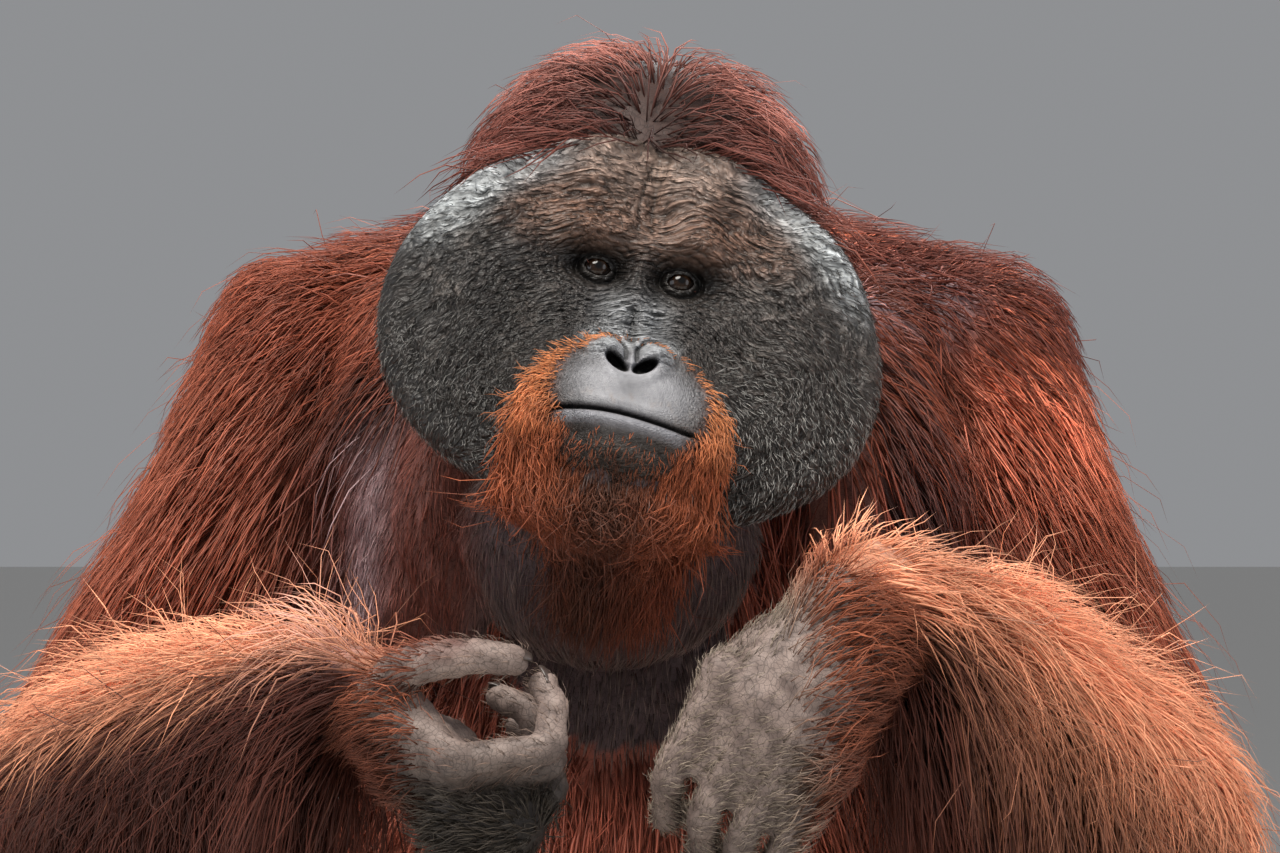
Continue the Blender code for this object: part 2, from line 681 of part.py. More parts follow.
def hand_nodes(side, forearm):
    """The palm and its five digits, each cut clear of the ones before it."""
    tag = SIDE_NAME[side]
    wrist, knuckles, breadth = WRIST[side], KNUCKLES[side], HAND_BREADTH[side]
    reach = (wrist - ELBOW[side]).normalized()
    palm = loft(
        "hand_" + tag,
        [
            (wrist - reach * 0.02, 0.032, 0.027),
            (wrist + reach * 0.010, 0.034, 0.026),
            (wrist.lerp(knuckles, 0.55), 0.042, 0.023),
            (knuckles, 0.045, 0.016),
        ],
        breadth,
        sides=12,
        per_span=2,
    )
    cut_flat(palm, wrist + reach * GAP, reach)
    carve(palm, [forearm])
    nodes = {palm.name: palm}
    done = [palm]
    for finger, joints in FINGERS[side].items():
        joints = [Vector(joint) / 1000 for joint in joints]
        made = digit(f"{finger}_{tag}", joints, FINGER_RADIUS.get(finger, DIGIT_RADIUS), breadth)
        carve(made, done + [forearm] if finger == "thumb" else done)
        done.append(made)
        nodes[made.name] = made
    return nodes


def foot_nodes(side, shank):
    """The long foot, flat on the ground, with four curled toes and a small first toe set far back."""
    tag = SIDE_NAME[side]
    ankle = side_of(ANKLE, side)
    foot = loft(
        "foot_" + tag,
        [
            (side_of(Vector((0.176, -0.242, 0.036)), side), 0.028, 0.028),
            (side_of(Vector((0.183, -0.290, 0.037)), side), 0.038, 0.037),
            (side_of(Vector((0.190, -0.345, 0.030)), side), 0.042, 0.031),
            (side_of(Vector((0.196, -0.392, 0.024)), side), 0.045, 0.024),
        ],
        (1, 0, 0),
        sides=12,
        per_span=2,
    )
    instep = loft(
        "instep",
        [
            (ankle + (side_of(KNEE, side) - ankle) * 0.08, 0.034, 0.038),
            (side_of(Vector((0.184, -0.300, 0.040)), side), 0.036, 0.036),
        ],
        (1, 0, 0),
        sides=10,
        per_span=2,
    )
    combine(foot, [instep], "UNION")
    cut_flat(foot, (0, 0, 0), (0, 0, 1))
    carve(foot, [shank])
    nodes = {foot.name: foot}
    done = [foot]
    for number in range(2, 6):
        x = 0.196 + (number - 3.5) * TOE_SPACING
        short = 0.006 * abs(number - 3)
        bend, last, tip = -0.432 + short, -0.457 + short, -0.459 + short
        joints = [(x, -0.390, 0.026), (x, bend, 0.034), (x, last, 0.023), (x, tip, 0.011)]
        joints = [side_of(Vector(joint), side) for joint in joints]
        made = digit(f"toe_{number}_{tag}", joints, DIGIT_RADIUS, (1, 0, 0), plain=True)
        cut_flat(made, (0, 0, 0), (0, 0, 1))
        carve(made, done)
        done.append(made)
        nodes[made.name] = made
    joints = [(0.160, -0.315, 0.024), (0.137, -0.330, 0.020), (0.133, -0.352, 0.014)]
    joints = [side_of(Vector(joint), side) for joint in joints]
    made = digit("toe_1_" + tag, joints, FIRST_TOE_RADIUS, (0, 1, 0), plain=True)
    cut_flat(made, (0, 0, 0), (0, 0, 1))
    carve(made, done)
    nodes[made.name] = made
    return nodes


# The long coat: flat, tapered locks that lie over the core as tiles do, each rooted in one node


def tree_of(shapes):
    """One search tree over several (points, faces) shapes."""
    points, faces = [], []
    for some_points, some_faces in shapes:
        start = len(points)
        points += some_points
        faces += [[start + i for i in face] for face in some_faces]
    return BVHTree.FromPolygons(points, faces)


def shape_of(obj):
    return [v.co.copy() for v in obj.data.vertices], [list(f.vertices) for f in obj.data.polygons]


def lay_lock(root, normal, lie, body, length, coat):
    """The points of one lock: its root is sunk in the core, then it follows the body's surface along the lie,
    a little further off at each station, and hangs free where the surface turns away beneath it."""
    here, up = root, normal
    rows = [(root - normal * ROOT_DEPTH, normal, lie(root), ROOT_WIDTH)]
    travelled = 0.0
    for share, wide, high in coat["stations"]:
        way = lie(here)
        way = (way - up * way.dot(up)).normalized()
        spot = here + way * (share - travelled) * length
        travelled = share
        near, up, _, _ = body.find_nearest(spot)
        outside = (spot - near).dot(up) > 0
        here = near.lerp(spot, coat["hang"]) if outside else near
        least = near + up * coat["lift"] * high
        rows.append((least if (here - near).length < coat["lift"] * high else here, up, way, wide))
    points = []
    for centre, up, way, wide in rows[:-1]:
        across = up.cross(way).normalized() * coat["width"] * wide / 2
        points += [centre - across, centre + across, centre + up * LOCK_RIDGE * max(wide, LEAST_RIDGE)]
    points.append(rows[-1][0] + rows[-1][1] * TIP_LIFT)
    return points


def lock_faces(points):
    """Three-sided rings from root to tip, turned so that the faces point out."""
    faces = [[2, 1, 0]]
    tip = len(points) - 1
    for ring in range(0, tip - 3, 3):
        for a, b in ((0, 1), (1, 2), (2, 0)):
            faces += [[ring + a, ring + b, ring + 3 + b], [ring + a, ring + 3 + b, ring + 3 + a]]
    faces += [[tip - 3 + a, tip - 3 + b, tip] for a, b in ((0, 1), (1, 2), (2, 0))]
    volume = sum(points[f[0]].dot(points[f[1]].cross(points[f[2]])) for f in faces)
    return faces if volume > 0 else [face[::-1] for face in faces]


def is_twisted(points, faces):
    """Whether a lock turns over between two of its rings: a face's normal then points to the lock's own middle."""
    ends = [3 * (i // 3) for i in range(len(points))]
    rings = {start: sum(points[start : start + 3], Vector()) / len(points[start : start + 3]) for start in ends}
    for face in faces[1:]:
        a, b, c = (points[i] for i in face)
        middle = sum((rings[ends[i]] for i in face), Vector()) / 3
        if (b - a).cross(c - a).normalized().dot((a + b + c) / 3 - middle) < LEAST_BULGE:
            return True
    return False


def spread_roots(obj, coat, body_gap, rng):
    """Roots spread evenly over a node's skin: random points inside the node, each moved to the nearest skin and
    kept if no root kept before is too near along the lie or across it. None is on a cut face, against another
    node or where no coat grows."""
    points, faces = shape_of(obj)
    skin = BVHTree.FromPolygons(points, faces)
    low, high = np.min(points, axis=0), np.max(points, axis=0)
    kept = []
    for inside in rng.uniform(low, high, (SPOTS_TRIED, 3)):
        spot, normal, _, _ = skin.find_nearest(Vector(inside))
        if (spot - Vector(inside)).dot(normal) <= 0:
            continue
        if body_gap(spot + normal * PROBE) < coat["room"] or not coat["grows"](spot, normal):
            continue
        crowded = False
        for other, _, way in kept:
            apart = spot - other
            along = apart.dot(way)
            across = math.sqrt(max(apart.length_squared - along * along, 0))
            if (along / coat["along"]) ** 2 + (across / coat["across"]) ** 2 < 1:
                crowded = True
                break
        if not crowded:
            way = coat["lie"](spot)
            kept.append((spot, normal, (way - normal * way.dot(normal)).normalized()))
    return kept


def grow_coat(nodes):
    """Fuses each coated node with its locks. A lock that would twist or touch another node is shortened or left
    out."""
    rng = np.random.default_rng(SEED)
    body = tree_of([shape_of(obj) for obj in nodes.values()])
    cores = {name: shape_of(obj) for name, obj in nodes.items()}
    grown = {}
    for name, coat in coats():
        others = [shape for other, shape in cores.items() if other != name]
        others += [shape for other, shapes in grown.items() if other != name for shape in shapes]
        around = tree_of(others)
        locks = []
        for root, normal, _ in spread_roots(nodes[name], coat, lambda p: around.find_nearest(p)[3], rng):
            turn = Matrix.Rotation(rng.uniform(-LOCK_TURN, LOCK_TURN), 3, normal)
            length = coat["length"] * rng.uniform(1 - LENGTH_SPREAD, 1 + LENGTH_SPREAD)
            for share in SHORTER:
                points = lay_lock(root, normal, lambda p: turn @ coat["lie"](p), body, length * share, coat)
                faces = lock_faces(points)
                if is_twisted(points, faces):
                    continue
                middle = sum(points, Vector()) / len(points)
                swollen = [p + (p - middle).normalized() * LOCK_CLEARANCE for p in points]
                touches = around.overlap(BVHTree.FromPolygons(swollen, faces))
                if not touches and min(p.z for p in points) > FLOOR_CLEARANCE:
                    locks.append((points, faces))
                    break
        grown.setdefault(name, []).extend(locks)
    for name, locks in grown.items():
        if not locks:
            continue
        combine(nodes[name], [object_from("lock", *shape) for shape in locks], "UNION")
        keep_largest(nodes[name])


def coats():
    """(node, coat) for each coated region: how its locks are spread, sized and laid."""
    turn, back = head_turn(), head_turn().transposed()
    wide = {"across": 0.070, "along": 0.106, "width": 0.068, "length": 0.155, "lift": 0.027, "hang": 0.30}
    wide |= {"room": 0.020, "grows": lambda p, n: p.z > 0.05, "stations": LONG_STATIONS}

    def always(way):
        return lambda p: way.copy()

    def down(p):
        return Vector((p.x * 0.8, (p.y - 0.05) * 0.8, -1))

    def trunk_grows(p, n):
        sheltered = (n.y < -0.5 and p.z > 0.28) or (p.y < 0.04 and p.z > 0.70)
        return p.z > 0.05 and not sheltered

    def cap_lie(p):
        x, y, _ = back @ (p - HEAD_CENTRE)
        return turn @ Vector((x / (abs(x) + 0.01), (y - 0.04) * 10, -0.35))

    def cap_grows(p, n):
        x, y, z = back @ (p - HEAD_CENTRE)
        return y > 0.022 and z > 0.050

    def beard_lie(p):
        x, _, _ = back @ (p - HEAD_CENTRE)
        return turn @ Vector((x / 0.075 * 0.4, -0.40, -1))

    def beard_grows(p, n):
        x, y, z = back @ (p - HEAD_CENTRE)
        faces_front = (back @ n).y < 0.15
        beside_muzzle = abs(x) > 0.060 and z < -0.040
        return faces_front and y < -0.012 and abs(x) < 0.084 and (z < -0.102 or beside_muzzle)

    fine = {"across": 0.042, "along": 0.050, "width": 0.046, "room": 0.004, "stations": SHORT_STATIONS}
    cap = {"length": 0.100, "lift": 0.026, "hang": 0.0, "lie": cap_lie, "grows": cap_grows}
    beard = {"length": 0.080, "lift": 0.022, "hang": 0.6, "lie": beard_lie, "grows": beard_grows}
    beard |= {"across": 0.032, "along": 0.044, "width": 0.036}
    yield "head", fine | cap
    yield "head", fine | beard
    nape = {"length": 0.09, "lift": 0.018, "room": 0.012, "lie": lambda p: Vector((p.x * 3, 0.6, -0.9))}
    yield "neck", wide | nape
    for side in (RIGHT, LEFT):
        tag = SIDE_NAME[side]
        shoulder, elbow, wrist = side_of(SHOULDER, side), ELBOW[side], WRIST[side]
        hip, knee, ankle = side_of(HIP, side), side_of(KNEE, side), side_of(ANKLE, side)
        arm_way = (elbow - shoulder).normalized() + Vector((side * 0.15, 0, 0))
        fore_way = (elbow - wrist).normalized() * 0.9 + Vector((0, 0, -0.55))
        thigh_way = (knee - hip).normalized() * 0.4 + Vector((0, 0, -0.8))
        shank_way = (ankle - knee).normalized() + Vector((side * 0.15, 0.25, 0))
        yield "upper_arm_" + tag, wide | {"lie": always(arm_way)}
        yield "forearm_" + tag, wide | {"lie": always(fore_way), "length": 0.130, "hang": 0.5}
        yield "thigh_" + tag, wide | {"lie": always(thigh_way), "length": 0.110}
        yield "shank_" + tag, wide | {"lie": always(shank_way), "length": 0.100, "lift": 0.020}
    yield "chest", wide | {"lie": down, "grows": trunk_grows}
    yield "belly", wide | {"lie": down, "grows": trunk_grows}


# Finishes: one material a node, in the colour that its hair or bare skin has


def paint(obj, colour, roughness):
    material = bpy.data.materials.new(obj.name)
    material.use_nodes = True
    shader = material.node_tree.nodes["Principled BSDF"]
    red, green, blue = (int(colour[i : i + 2], 16) / 255 for i in (1, 3, 5))
    linear = [c / 12.92 if c <= 0.04045 else ((c + 0.055) / 1.055) ** 2.4 for c in (red, green, blue)]
    shader.inputs["Base Color"].default_value = (*linear, 1)
    shader.inputs["Roughness"].default_value = roughness
    shader.inputs["Metallic"].default_value = 0.0
    obj.data.materials.clear()
    obj.data.materials.append(material)


def finish_of(name):
    """(colour, roughness) of a node by the words in its name."""
    if name.startswith("eye_"):
        return "#1A0F0B", 0.08
    for words, finish in FINISHES.items():
        if any(name.startswith(word) for word in words.split()):
            return finish
    return "#6B5A58", 0.60


FINISHES = {
    "head cheek_pad": ("#3B302D", 0.55),
    "ear throat_pouch": ("#4A3A38", 0.60),
    "upper_arm forearm": ("#B4542B", 0.75),
    "chest belly thigh shank neck": ("#7E3A24", 0.80),
}


def stand_on_origin(nodes):
    """Moves the animal so that the middle of its box's underside is the origin."""
    corners = np.array([v.co for obj in nodes.values() for v in obj.data.vertices])
    low, high = corners.min(0), corners.max(0)
    shift = Vector(((low[0] + high[0]) / 2, (low[1] + high[1]) / 2, low[2]))
    for obj in nodes.values():
        obj.data.transform(Matrix.Translation(-shift))
        obj.data.update()


def main():
    clear_scene()
    nodes = head_nodes()
    nodes |= trunk_nodes()
    carve(nodes["chest"], [nodes["head"]])
    nodes["neck"] = neck_node([nodes[name] for name in ("chest", "head", "ear_right", "ear_left")])
    nodes["throat_pouch"] = throat_node(nodes["head"], nodes["neck"], nodes["chest"])
    for side in (RIGHT, LEFT):
        tag = SIDE_NAME[side]
        nodes |= arm_nodes(side, nodes["chest"], nodes["neck"])
        nodes |= leg_nodes(side, nodes["belly"])
        nodes |= hand_nodes(side, nodes["forearm_" + tag])
        nodes |= foot_nodes(side, nodes["shank_" + tag])
    for side in (RIGHT, LEFT):
        seat_ear(nodes["ear_" + SIDE_NAME[side]], side)
    grow_coat(nodes)
    stand_on_origin(nodes)
    for name, obj in nodes.items():
        paint(obj, *finish_of(name))
        obj.data.shade_smooth()
        obj.data.set_sharp_from_angle(angle=SHARP_FROM)


main()
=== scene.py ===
import math

import bpy
import numpy as np
from bpy.props import FloatProperty, IntProperty, PointerProperty
from mathutils import Matrix, Vector


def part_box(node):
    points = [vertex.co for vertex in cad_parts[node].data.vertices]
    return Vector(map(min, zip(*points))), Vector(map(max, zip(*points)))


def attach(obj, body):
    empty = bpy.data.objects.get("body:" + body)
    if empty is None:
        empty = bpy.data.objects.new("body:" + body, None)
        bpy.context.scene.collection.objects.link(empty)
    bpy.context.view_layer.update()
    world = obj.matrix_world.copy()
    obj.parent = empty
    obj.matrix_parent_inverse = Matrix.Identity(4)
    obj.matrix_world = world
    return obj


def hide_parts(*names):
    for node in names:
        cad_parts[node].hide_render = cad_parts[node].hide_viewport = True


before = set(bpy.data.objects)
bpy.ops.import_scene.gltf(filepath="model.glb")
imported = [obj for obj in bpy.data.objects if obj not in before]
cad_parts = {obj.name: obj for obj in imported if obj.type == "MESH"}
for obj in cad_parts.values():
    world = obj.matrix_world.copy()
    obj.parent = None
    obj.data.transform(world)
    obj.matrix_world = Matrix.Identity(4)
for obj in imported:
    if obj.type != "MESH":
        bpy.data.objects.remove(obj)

bl_info = {
    "name": "Orangutan looks",
    "version": (1, 0, 0),
    "blender": (4, 5, 0),
    "location": "View3D > Sidebar > Orangutan",
    "description": "Skin, coat, eyes and nails of a sitting male orangutan over its packed solids",
    "category": "Object",
}

# Sizes in metres, in the axes that the solids were drawn in. The face looks along -Y, its left is at +X.

DISC_WIDTH = 0.334
EYE_SPACING = 0.056
HEAD_CENTRE = np.array([-0.007, -0.200, 0.714])
HEAD_ROLL = math.radians(10.5)
HEAD_YAW = math.radians(4.0)
HEAD_PITCH = math.radians(-12.0)
DISC_RIM = 0.017
EYE_RADIUS = 0.012
EYE_HEIGHT = 0.0365
EYE_FORWARD = -0.0045
MOUTH_HEIGHT = -0.078
DISC_OUTLINE = np.array(
    [
        (25, 154), (49, 138), (90, 127), (129, 136), (152, 148), (177, 165), (195, 168), (214, 162),
        (236, 146), (249, 139), (270, 132), (291, 137), (315, 156), (336, 172), (357, 171),
    ],
    float,
)
RIGHT, LEFT = -1, 1
SIDES = (RIGHT, LEFT)
TAG = {RIGHT: "right", LEFT: "left"}
HIP = np.array([0.105, 0.030, 0.125])
KNEE = np.array([0.250, -0.170, 0.262])
ANKLE = np.array([0.185, -0.285, 0.062])
SHOULDER = np.array([0.212, 0.070, 0.690])
ELBOW = {RIGHT: np.array([-0.383, -0.010, 0.382]), LEFT: np.array([0.347, -0.010, 0.360])}
WRIST = {RIGHT: np.array([-0.185, -0.305, 0.478]), LEFT: np.array([0.158, -0.268, 0.540])}
HAND_BREADTH = {RIGHT: np.array([0.0, 0.060, -0.036]), LEFT: np.array([0.067, 0.004, -0.060])}
KNUCKLES = {RIGHT: np.array([-0.113, -0.333, 0.418]), LEFT: np.array([0.087, -0.316, 0.462])}
TORSO = [
    (-0.03, 0.065, 0.120, 0.100), (0.03, 0.060, 0.175, 0.150), (0.12, 0.055, 0.200, 0.182),
    (0.25, 0.050, 0.200, 0.197), (0.38, 0.060, 0.184, 0.185), (0.50, 0.070, 0.164, 0.165),
    (0.60, 0.080, 0.157, 0.146), (0.69, 0.086, 0.152, 0.124), (0.75, 0.092, 0.132, 0.098),
    (0.79, 0.092, 0.098, 0.070),
]
FINGERS = {
    RIGHT: {
        "index": [(-118, -362, 436), (-59, -357, 445), (-56, -345, 471), (-63, -336, 486)],
        "middle": [(-113, -343, 422), (-58, -328, 434), (-72, -313, 466), (-92, -309, 476)],
        "ring": [(-111, -324, 411), (-58, -308, 414), (-64, -288, 444), (-80, -283, 456)],
        "little": [(-114, -303, 402), (-67, -286, 402), (-73, -267, 428), (-88, -263, 438)],
        "thumb": [(-168, -334, 486), (-139, -352, 499), (-106, -354, 503), (-79, -348, 500)],
    },
    LEFT: {
        "index": [(53, -318, 492), (18, -314, 424), (17, -285, 397), (22, -262, 399)],
        "middle": [(76, -321, 472), (41, -317, 400), (40, -286, 371), (45, -263, 372)],
        "ring": [(98, -318, 452), (65, -313, 384), (63, -283, 357), (67, -262, 359)],
        "little": [(119, -311, 434), (89, -304, 374), (87, -278, 350), (90, -260, 352)],
        "thumb": [(125, -272, 528), (83, -272, 512), (52, -268, 490), (40, -266, 468)],
    },
}
FINGER_RADIUS = {"thumb": 0.0146, "little": 0.0100}
DIGIT_RADIUS = 0.0112
TOE_SPACING = 0.0232
FIRST_TOE_RADIUS = 0.0125
NAIL_SHARE = 0.80  # of the digit's radius
FACE_TURNS, FACE_RINGS = 336, 190
LID_TURNS, LID_ROWS = 120, 22
SKIN_VOXEL, HAND_VOXEL, FOOT_VOXEL = 0.0056, 0.0024, 0.0034
ROOT_DEPTH = 0.0015  # how deep a hair starts under the skin
LOWEST_STATION, LOWEST_HAIR = 0.003, 0.0006  # heights over the floor that hairs keep
HAIR_PATCH = 0.003  # the side of a hair's patch of the map
BODY_SEED, HEAD_SEED = 100, 201
LEG_HAIRS, SHORT_HAIRS, CHEST_HAIRS, NECK_HAIRS, THROAT_HAIRS = 4500, 4500, 5500, 4500, 4500
HAND_HAIRS = {RIGHT: 2500, LEFT: 5000}
CAMERA_PLACE = (0, -5.2, 0.65)
CAMERA_SENSOR = 36.0
FLOOR_EDGE = 30.0  # half the floor's side
RIM_SHARE = 0.5  # of the key light's power
BALL_SHARE = 0.985  # of the eye's radius
EAR_RADII = (0.0140, 0.0190, 0.0250)
ENDS, THROAT = ["hand", "foot"], ["throat", "jaw"]


# Small array tools


def unit(v):
    """Vectors at length 1: each divided by its length."""
    return v / np.maximum(np.linalg.norm(v, axis=-1, keepdims=True), 1e-9)


def dot(a, b):
    """Scalar product of each pair of vectors, kept as a column."""
    return (a * b).sum(-1, keepdims=True)


def ease(low, high, x):
    """0 below low, 1 above high, and a smooth step between."""
    t = np.clip((x - low) / (high - low), 0, 1)
    return t * t * (3 - 2 * t)


def mix(a, b, share):
    """The straight line from one value to the other, at the share of its length."""
    return a + (b - a) * share


def linear(colour):
    """An sRGB hex colour as three linear values."""
    srgb = np.array([int(colour[i : i + 2], 16) for i in (1, 3, 5)]) / 255
    return np.where(srgb <= 0.04045, srgb / 12.92, ((srgb + 0.055) / 1.055) ** 2.4)


def blend(low, high, share):
    """Two hex colours mixed by a share for each point."""
    return mix(linear(low), linear(high), share[:, None])


def paint(tint, regions):
    """Lays each region's colours over the tint where its mask is true."""
    for region, colours in regions:
        tint[region] = colours[region]


def bell(offset, reach, power=2):
    """1 at the middle and falling off over the reach, flatter on top and steeper beside it at higher powers."""
    return np.exp(-((offset / reach) ** power))


def distance(points, place):
    """How far each point lies from one place."""
    return np.linalg.norm(points - np.array(place), axis=1)


def spin(axis, angle):
    return np.array(Matrix.Rotation(angle, 3, axis))


TURN = spin("Z", HEAD_YAW) @ spin("Y", HEAD_ROLL) @ spin("X", HEAD_PITCH)


def on_head(points):
    """Points in the head's axes (x to its left, y to its back, z up) moved to their place."""
    return HEAD_CENTRE + np.asarray(points, float) @ TURN.T


def in_head(points):
    """Placed points brought back to the head's axes."""
    return (points - HEAD_CENTRE) @ TURN


def side_of(point, side):
    """A point of the left side, mirrored for the right one."""
    return np.array([point[0] * side, point[1], point[2]])


def leg_joints(side):
    """Hip, knee and ankle of one side."""
    return [side_of(joint, side) for joint in (HIP, KNEE, ANKLE)]


def eye_middle(side):
    return on_head([side * EYE_SPACING / 2, -EYE_FORWARD, EYE_HEIGHT])


def solids_place():
    """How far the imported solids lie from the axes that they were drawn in, read off an eye."""
    low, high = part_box("eye_left")
    return (np.array(low) + np.array(high)) / 2 - eye_middle(LEFT)


PLACE = solids_place()


def waves(points, size, seed, octaves=3):
    """Smooth seeded noise from -1 to 1: in each octave the sum of six sine waves with random directions whose
    wavelength is near the size, halved for each next octave. Every use has a seed of its own, its third value."""
    rng = np.random.default_rng(seed)
    total, strength = np.zeros(len(points)), 1.0
    for _ in range(octaves):
        ways = unit(rng.normal(size=(6, 3))) * (2 * math.pi / size) * rng.uniform(0.7, 1.4, (6, 1))
        total += strength * np.sin(points @ ways.T + rng.uniform(0, 6.3, 6)).sum(1) / 3
        size, strength = size / 2, strength * 0.5
    return np.clip(total / 1.75, -1, 1)


def wave_vectors(points, size, seed, octaves):
    """A smooth seeded vector at each point: three waves with seeds that follow each other."""
    return np.stack([waves(points, size, seed + k, octaves) for k in range(3)], -1)


# Meshes from arrays


def new_object(name, points, faces, tint=None, uv=None):
    """A mesh object from points and a list of face arrays, each with three or four corners a row. The points are
    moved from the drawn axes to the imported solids' place."""
    mesh = bpy.data.meshes.new(name)
    mesh.vertices.add(len(points))
    place_vertices(mesh, points)
    corners = np.concatenate([f.ravel() for f in faces]).astype(np.int32)
    sizes = np.concatenate([np.full(len(f), f.shape[1]) for f in faces]).astype(np.int32)
    mesh.loops.add(len(corners))
    mesh.loops.foreach_set("vertex_index", corners)
    mesh.polygons.add(len(sizes))
    mesh.polygons.foreach_set("loop_start", (np.cumsum(sizes) - sizes).astype(np.int32))
    mesh.polygons.foreach_set("loop_total", sizes)
    mesh.update(calc_edges=True)
    if tint is not None:
        set_tint(mesh, tint)
    if uv is not None:
        mesh.uv_layers.new(name="OFBake").data.foreach_set("uv", uv[corners].astype(np.float32).ravel())
    mesh.shade_smooth()
    obj = bpy.data.objects.new(name, mesh)
    bpy.context.scene.collection.objects.link(obj)
    return obj


def place_vertices(mesh, points):
    """Moves a mesh's vertices to points in the drawn axes."""
    mesh.vertices.foreach_set("co", (points + PLACE).astype(np.float32).ravel())
    mesh.update()


def set_tint(mesh, tint):
    colours = np.ones((len(mesh.vertices), 4), np.float32)
    colours[:, :3] = tint
    mesh.color_attributes.new("Tint", "FLOAT_COLOR", "POINT").data.foreach_set("color", colours.ravel())


def vertex_rows(mesh, what):
    flat = np.empty(len(mesh.vertices) * 3, np.float32)
    mesh.vertices.foreach_get(what, flat)
    return flat.reshape(-1, 3).astype(float)


def vertices_of(mesh):
    return vertex_rows(mesh, "co") - PLACE


def normals_of(mesh):
    return vertex_rows(mesh, "normal")


def triangles_of(mesh):
    mesh.calc_loop_triangles()
    flat = np.empty(len(mesh.loop_triangles) * 3, np.int32)
    mesh.loop_triangles.foreach_get("vertices", flat)
    return flat.reshape(-1, 3)


def grid_faces(rows, columns, start=0, closed=True):
    """Quads between rows of points, each row closed on itself if asked."""
    i = np.arange(rows - 1)[:, None] * columns
    j = np.arange(columns if closed else columns - 1)[None]
    k = (j + 1) % columns
    return start + np.stack([i + j, i + k, i + columns + k, i + columns + j], -1).reshape(-1, 4)


def fan_faces(centre, row_start, columns, flip=False):
    """Triangles from one point to each side of a closed row."""
    j = np.arange(columns)
    k = (j + 1) % columns
    fan = np.stack([np.full(columns, centre), row_start + j, row_start + k], -1)
    return fan[:, ::-1] if flip else fan


def join(shapes):
    """One (points, faces) from several."""
    points, faces, start = [], [], 0
    for some_points, some_faces in shapes:
        points.append(some_points)
        faces += [f + start for f in some_faces]
        start += len(some_points)
    return np.vstack(points), faces


def smooth_path(stations, per_span):
    """Rows on a Catmull-Rom curve through the given rows of numbers, the first and last included."""
    rows = np.array(stations, float)
    padded = np.vstack([2 * rows[0] - rows[1], rows, 2 * rows[-1] - rows[-2]])
    t = np.linspace(0, 1, per_span, endpoint=False)[:, None]
    spans = [
        b + 0.5 * ((c - a) * t + (2 * a - 5 * b + 4 * c - d) * t**2 + (3 * b - a - 3 * c + d) * t**3)
        for a, b, c, d in zip(padded, padded[1:], padded[2:], padded[3:])
    ]
    return np.vstack(spans + [rows[-1:]])


DOME = np.radians([12.0, 25.0, 40.0, 56.0, 72.0, 84.0])


def tube(stations, across, sides=32, per_span=8, dome=0.75):
    """A closed tube through rows of (x, y, z, half width, half depth): an ellipse square to the path at each
    step, its width along `across`, with a dome of shrinking rings at each end."""
    rows = smooth_path(stations, per_span)
    centres, widths, depths = rows[:, :3], rows[:, 3], rows[:, 4]
    tangents = unit(np.gradient(centres, axis=0))
    high, shrink = dome * np.sin(DOME)[:, None], np.cos(DOME)
    first, last = high * min(widths[0], depths[0]), high * min(widths[-1], depths[-1])
    centres = np.vstack(
        [centres[0] - first[::-1] * tangents[0], centres, centres[-1] + last * tangents[-1]]
    )
    widths = np.hstack([widths[0] * shrink[::-1], widths, widths[-1] * shrink])
    depths = np.hstack([depths[0] * shrink[::-1], depths, depths[-1] * shrink])
    tangents = np.vstack([tangents[:1]] * len(DOME) + [tangents] + [tangents[-1:]] * len(DOME))
    u = unit(np.array(across, float) - tangents * dot(tangents, np.array(across, float)))
    v = np.cross(tangents, u)
    angle = np.linspace(0, 2 * math.pi, sides, endpoint=False)
    ring = (
        centres[:, None]
        + u[:, None] * (widths[:, None] * np.cos(angle))[..., None]
        + v[:, None] * (depths[:, None] * np.sin(angle))[..., None]
    )
    count = len(centres)
    points = np.vstack([ring.reshape(-1, 3), centres[:1], centres[-1:]])
    top = (count - 1) * sides
    caps = np.vstack([fan_faces(count * sides, 0, sides, True), fan_faces(count * sides + 1, top, sides)])
    return points, [grid_faces(count, sides), caps]


def rod(across, *stations, sides=32, per_span=8):
    """A tube through (place, half width, half depth) at each station."""
    return tube([[*place, wide, deep] for place, wide, deep in stations], across, sides, per_span)


def ball(centre, radii, turn=None, rings=28, sides=48):
    """A closed ellipsoid: rows of rings from its lower pole to its upper one."""
    rise = np.linspace(-math.pi / 2, math.pi / 2, rings + 1)[1:-1][:, None]
    angle = np.linspace(0, 2 * math.pi, sides, endpoint=False)[None]
    shell = np.stack([np.cos(rise) * np.cos(angle), np.cos(rise) * np.sin(angle), np.sin(rise) + 0 * angle], -1)
    unit_points = np.vstack([shell.reshape(-1, 3), [[0, 0, -1]], [[0, 0, 1]]]) * np.array(radii)
    if turn is not None:
        unit_points = unit_points @ np.asarray(turn).T
    rows = rings - 1
    caps = [fan_faces(rows * sides, 0, sides, True), fan_faces(rows * sides + 1, (rows - 1) * sides, sides)]
    return unit_points + np.array(centre), [grid_faces(rows, sides), np.vstack(caps)]


def settled(obj):
    """Replaces the object's mesh by the one that its modifiers make."""
    graph = bpy.context.evaluated_depsgraph_get()
    graph.update()
    made = bpy.data.meshes.new_from_object(obj.evaluated_get(graph))
    obj.modifiers.clear()
    old, name = obj.data, obj.data.name
    obj.data = made
    bpy.data.meshes.remove(old)
    made.name = name
    return obj


def discard(obj):
    mesh = obj.data
    bpy.data.objects.remove(obj)
    bpy.data.meshes.remove(mesh)


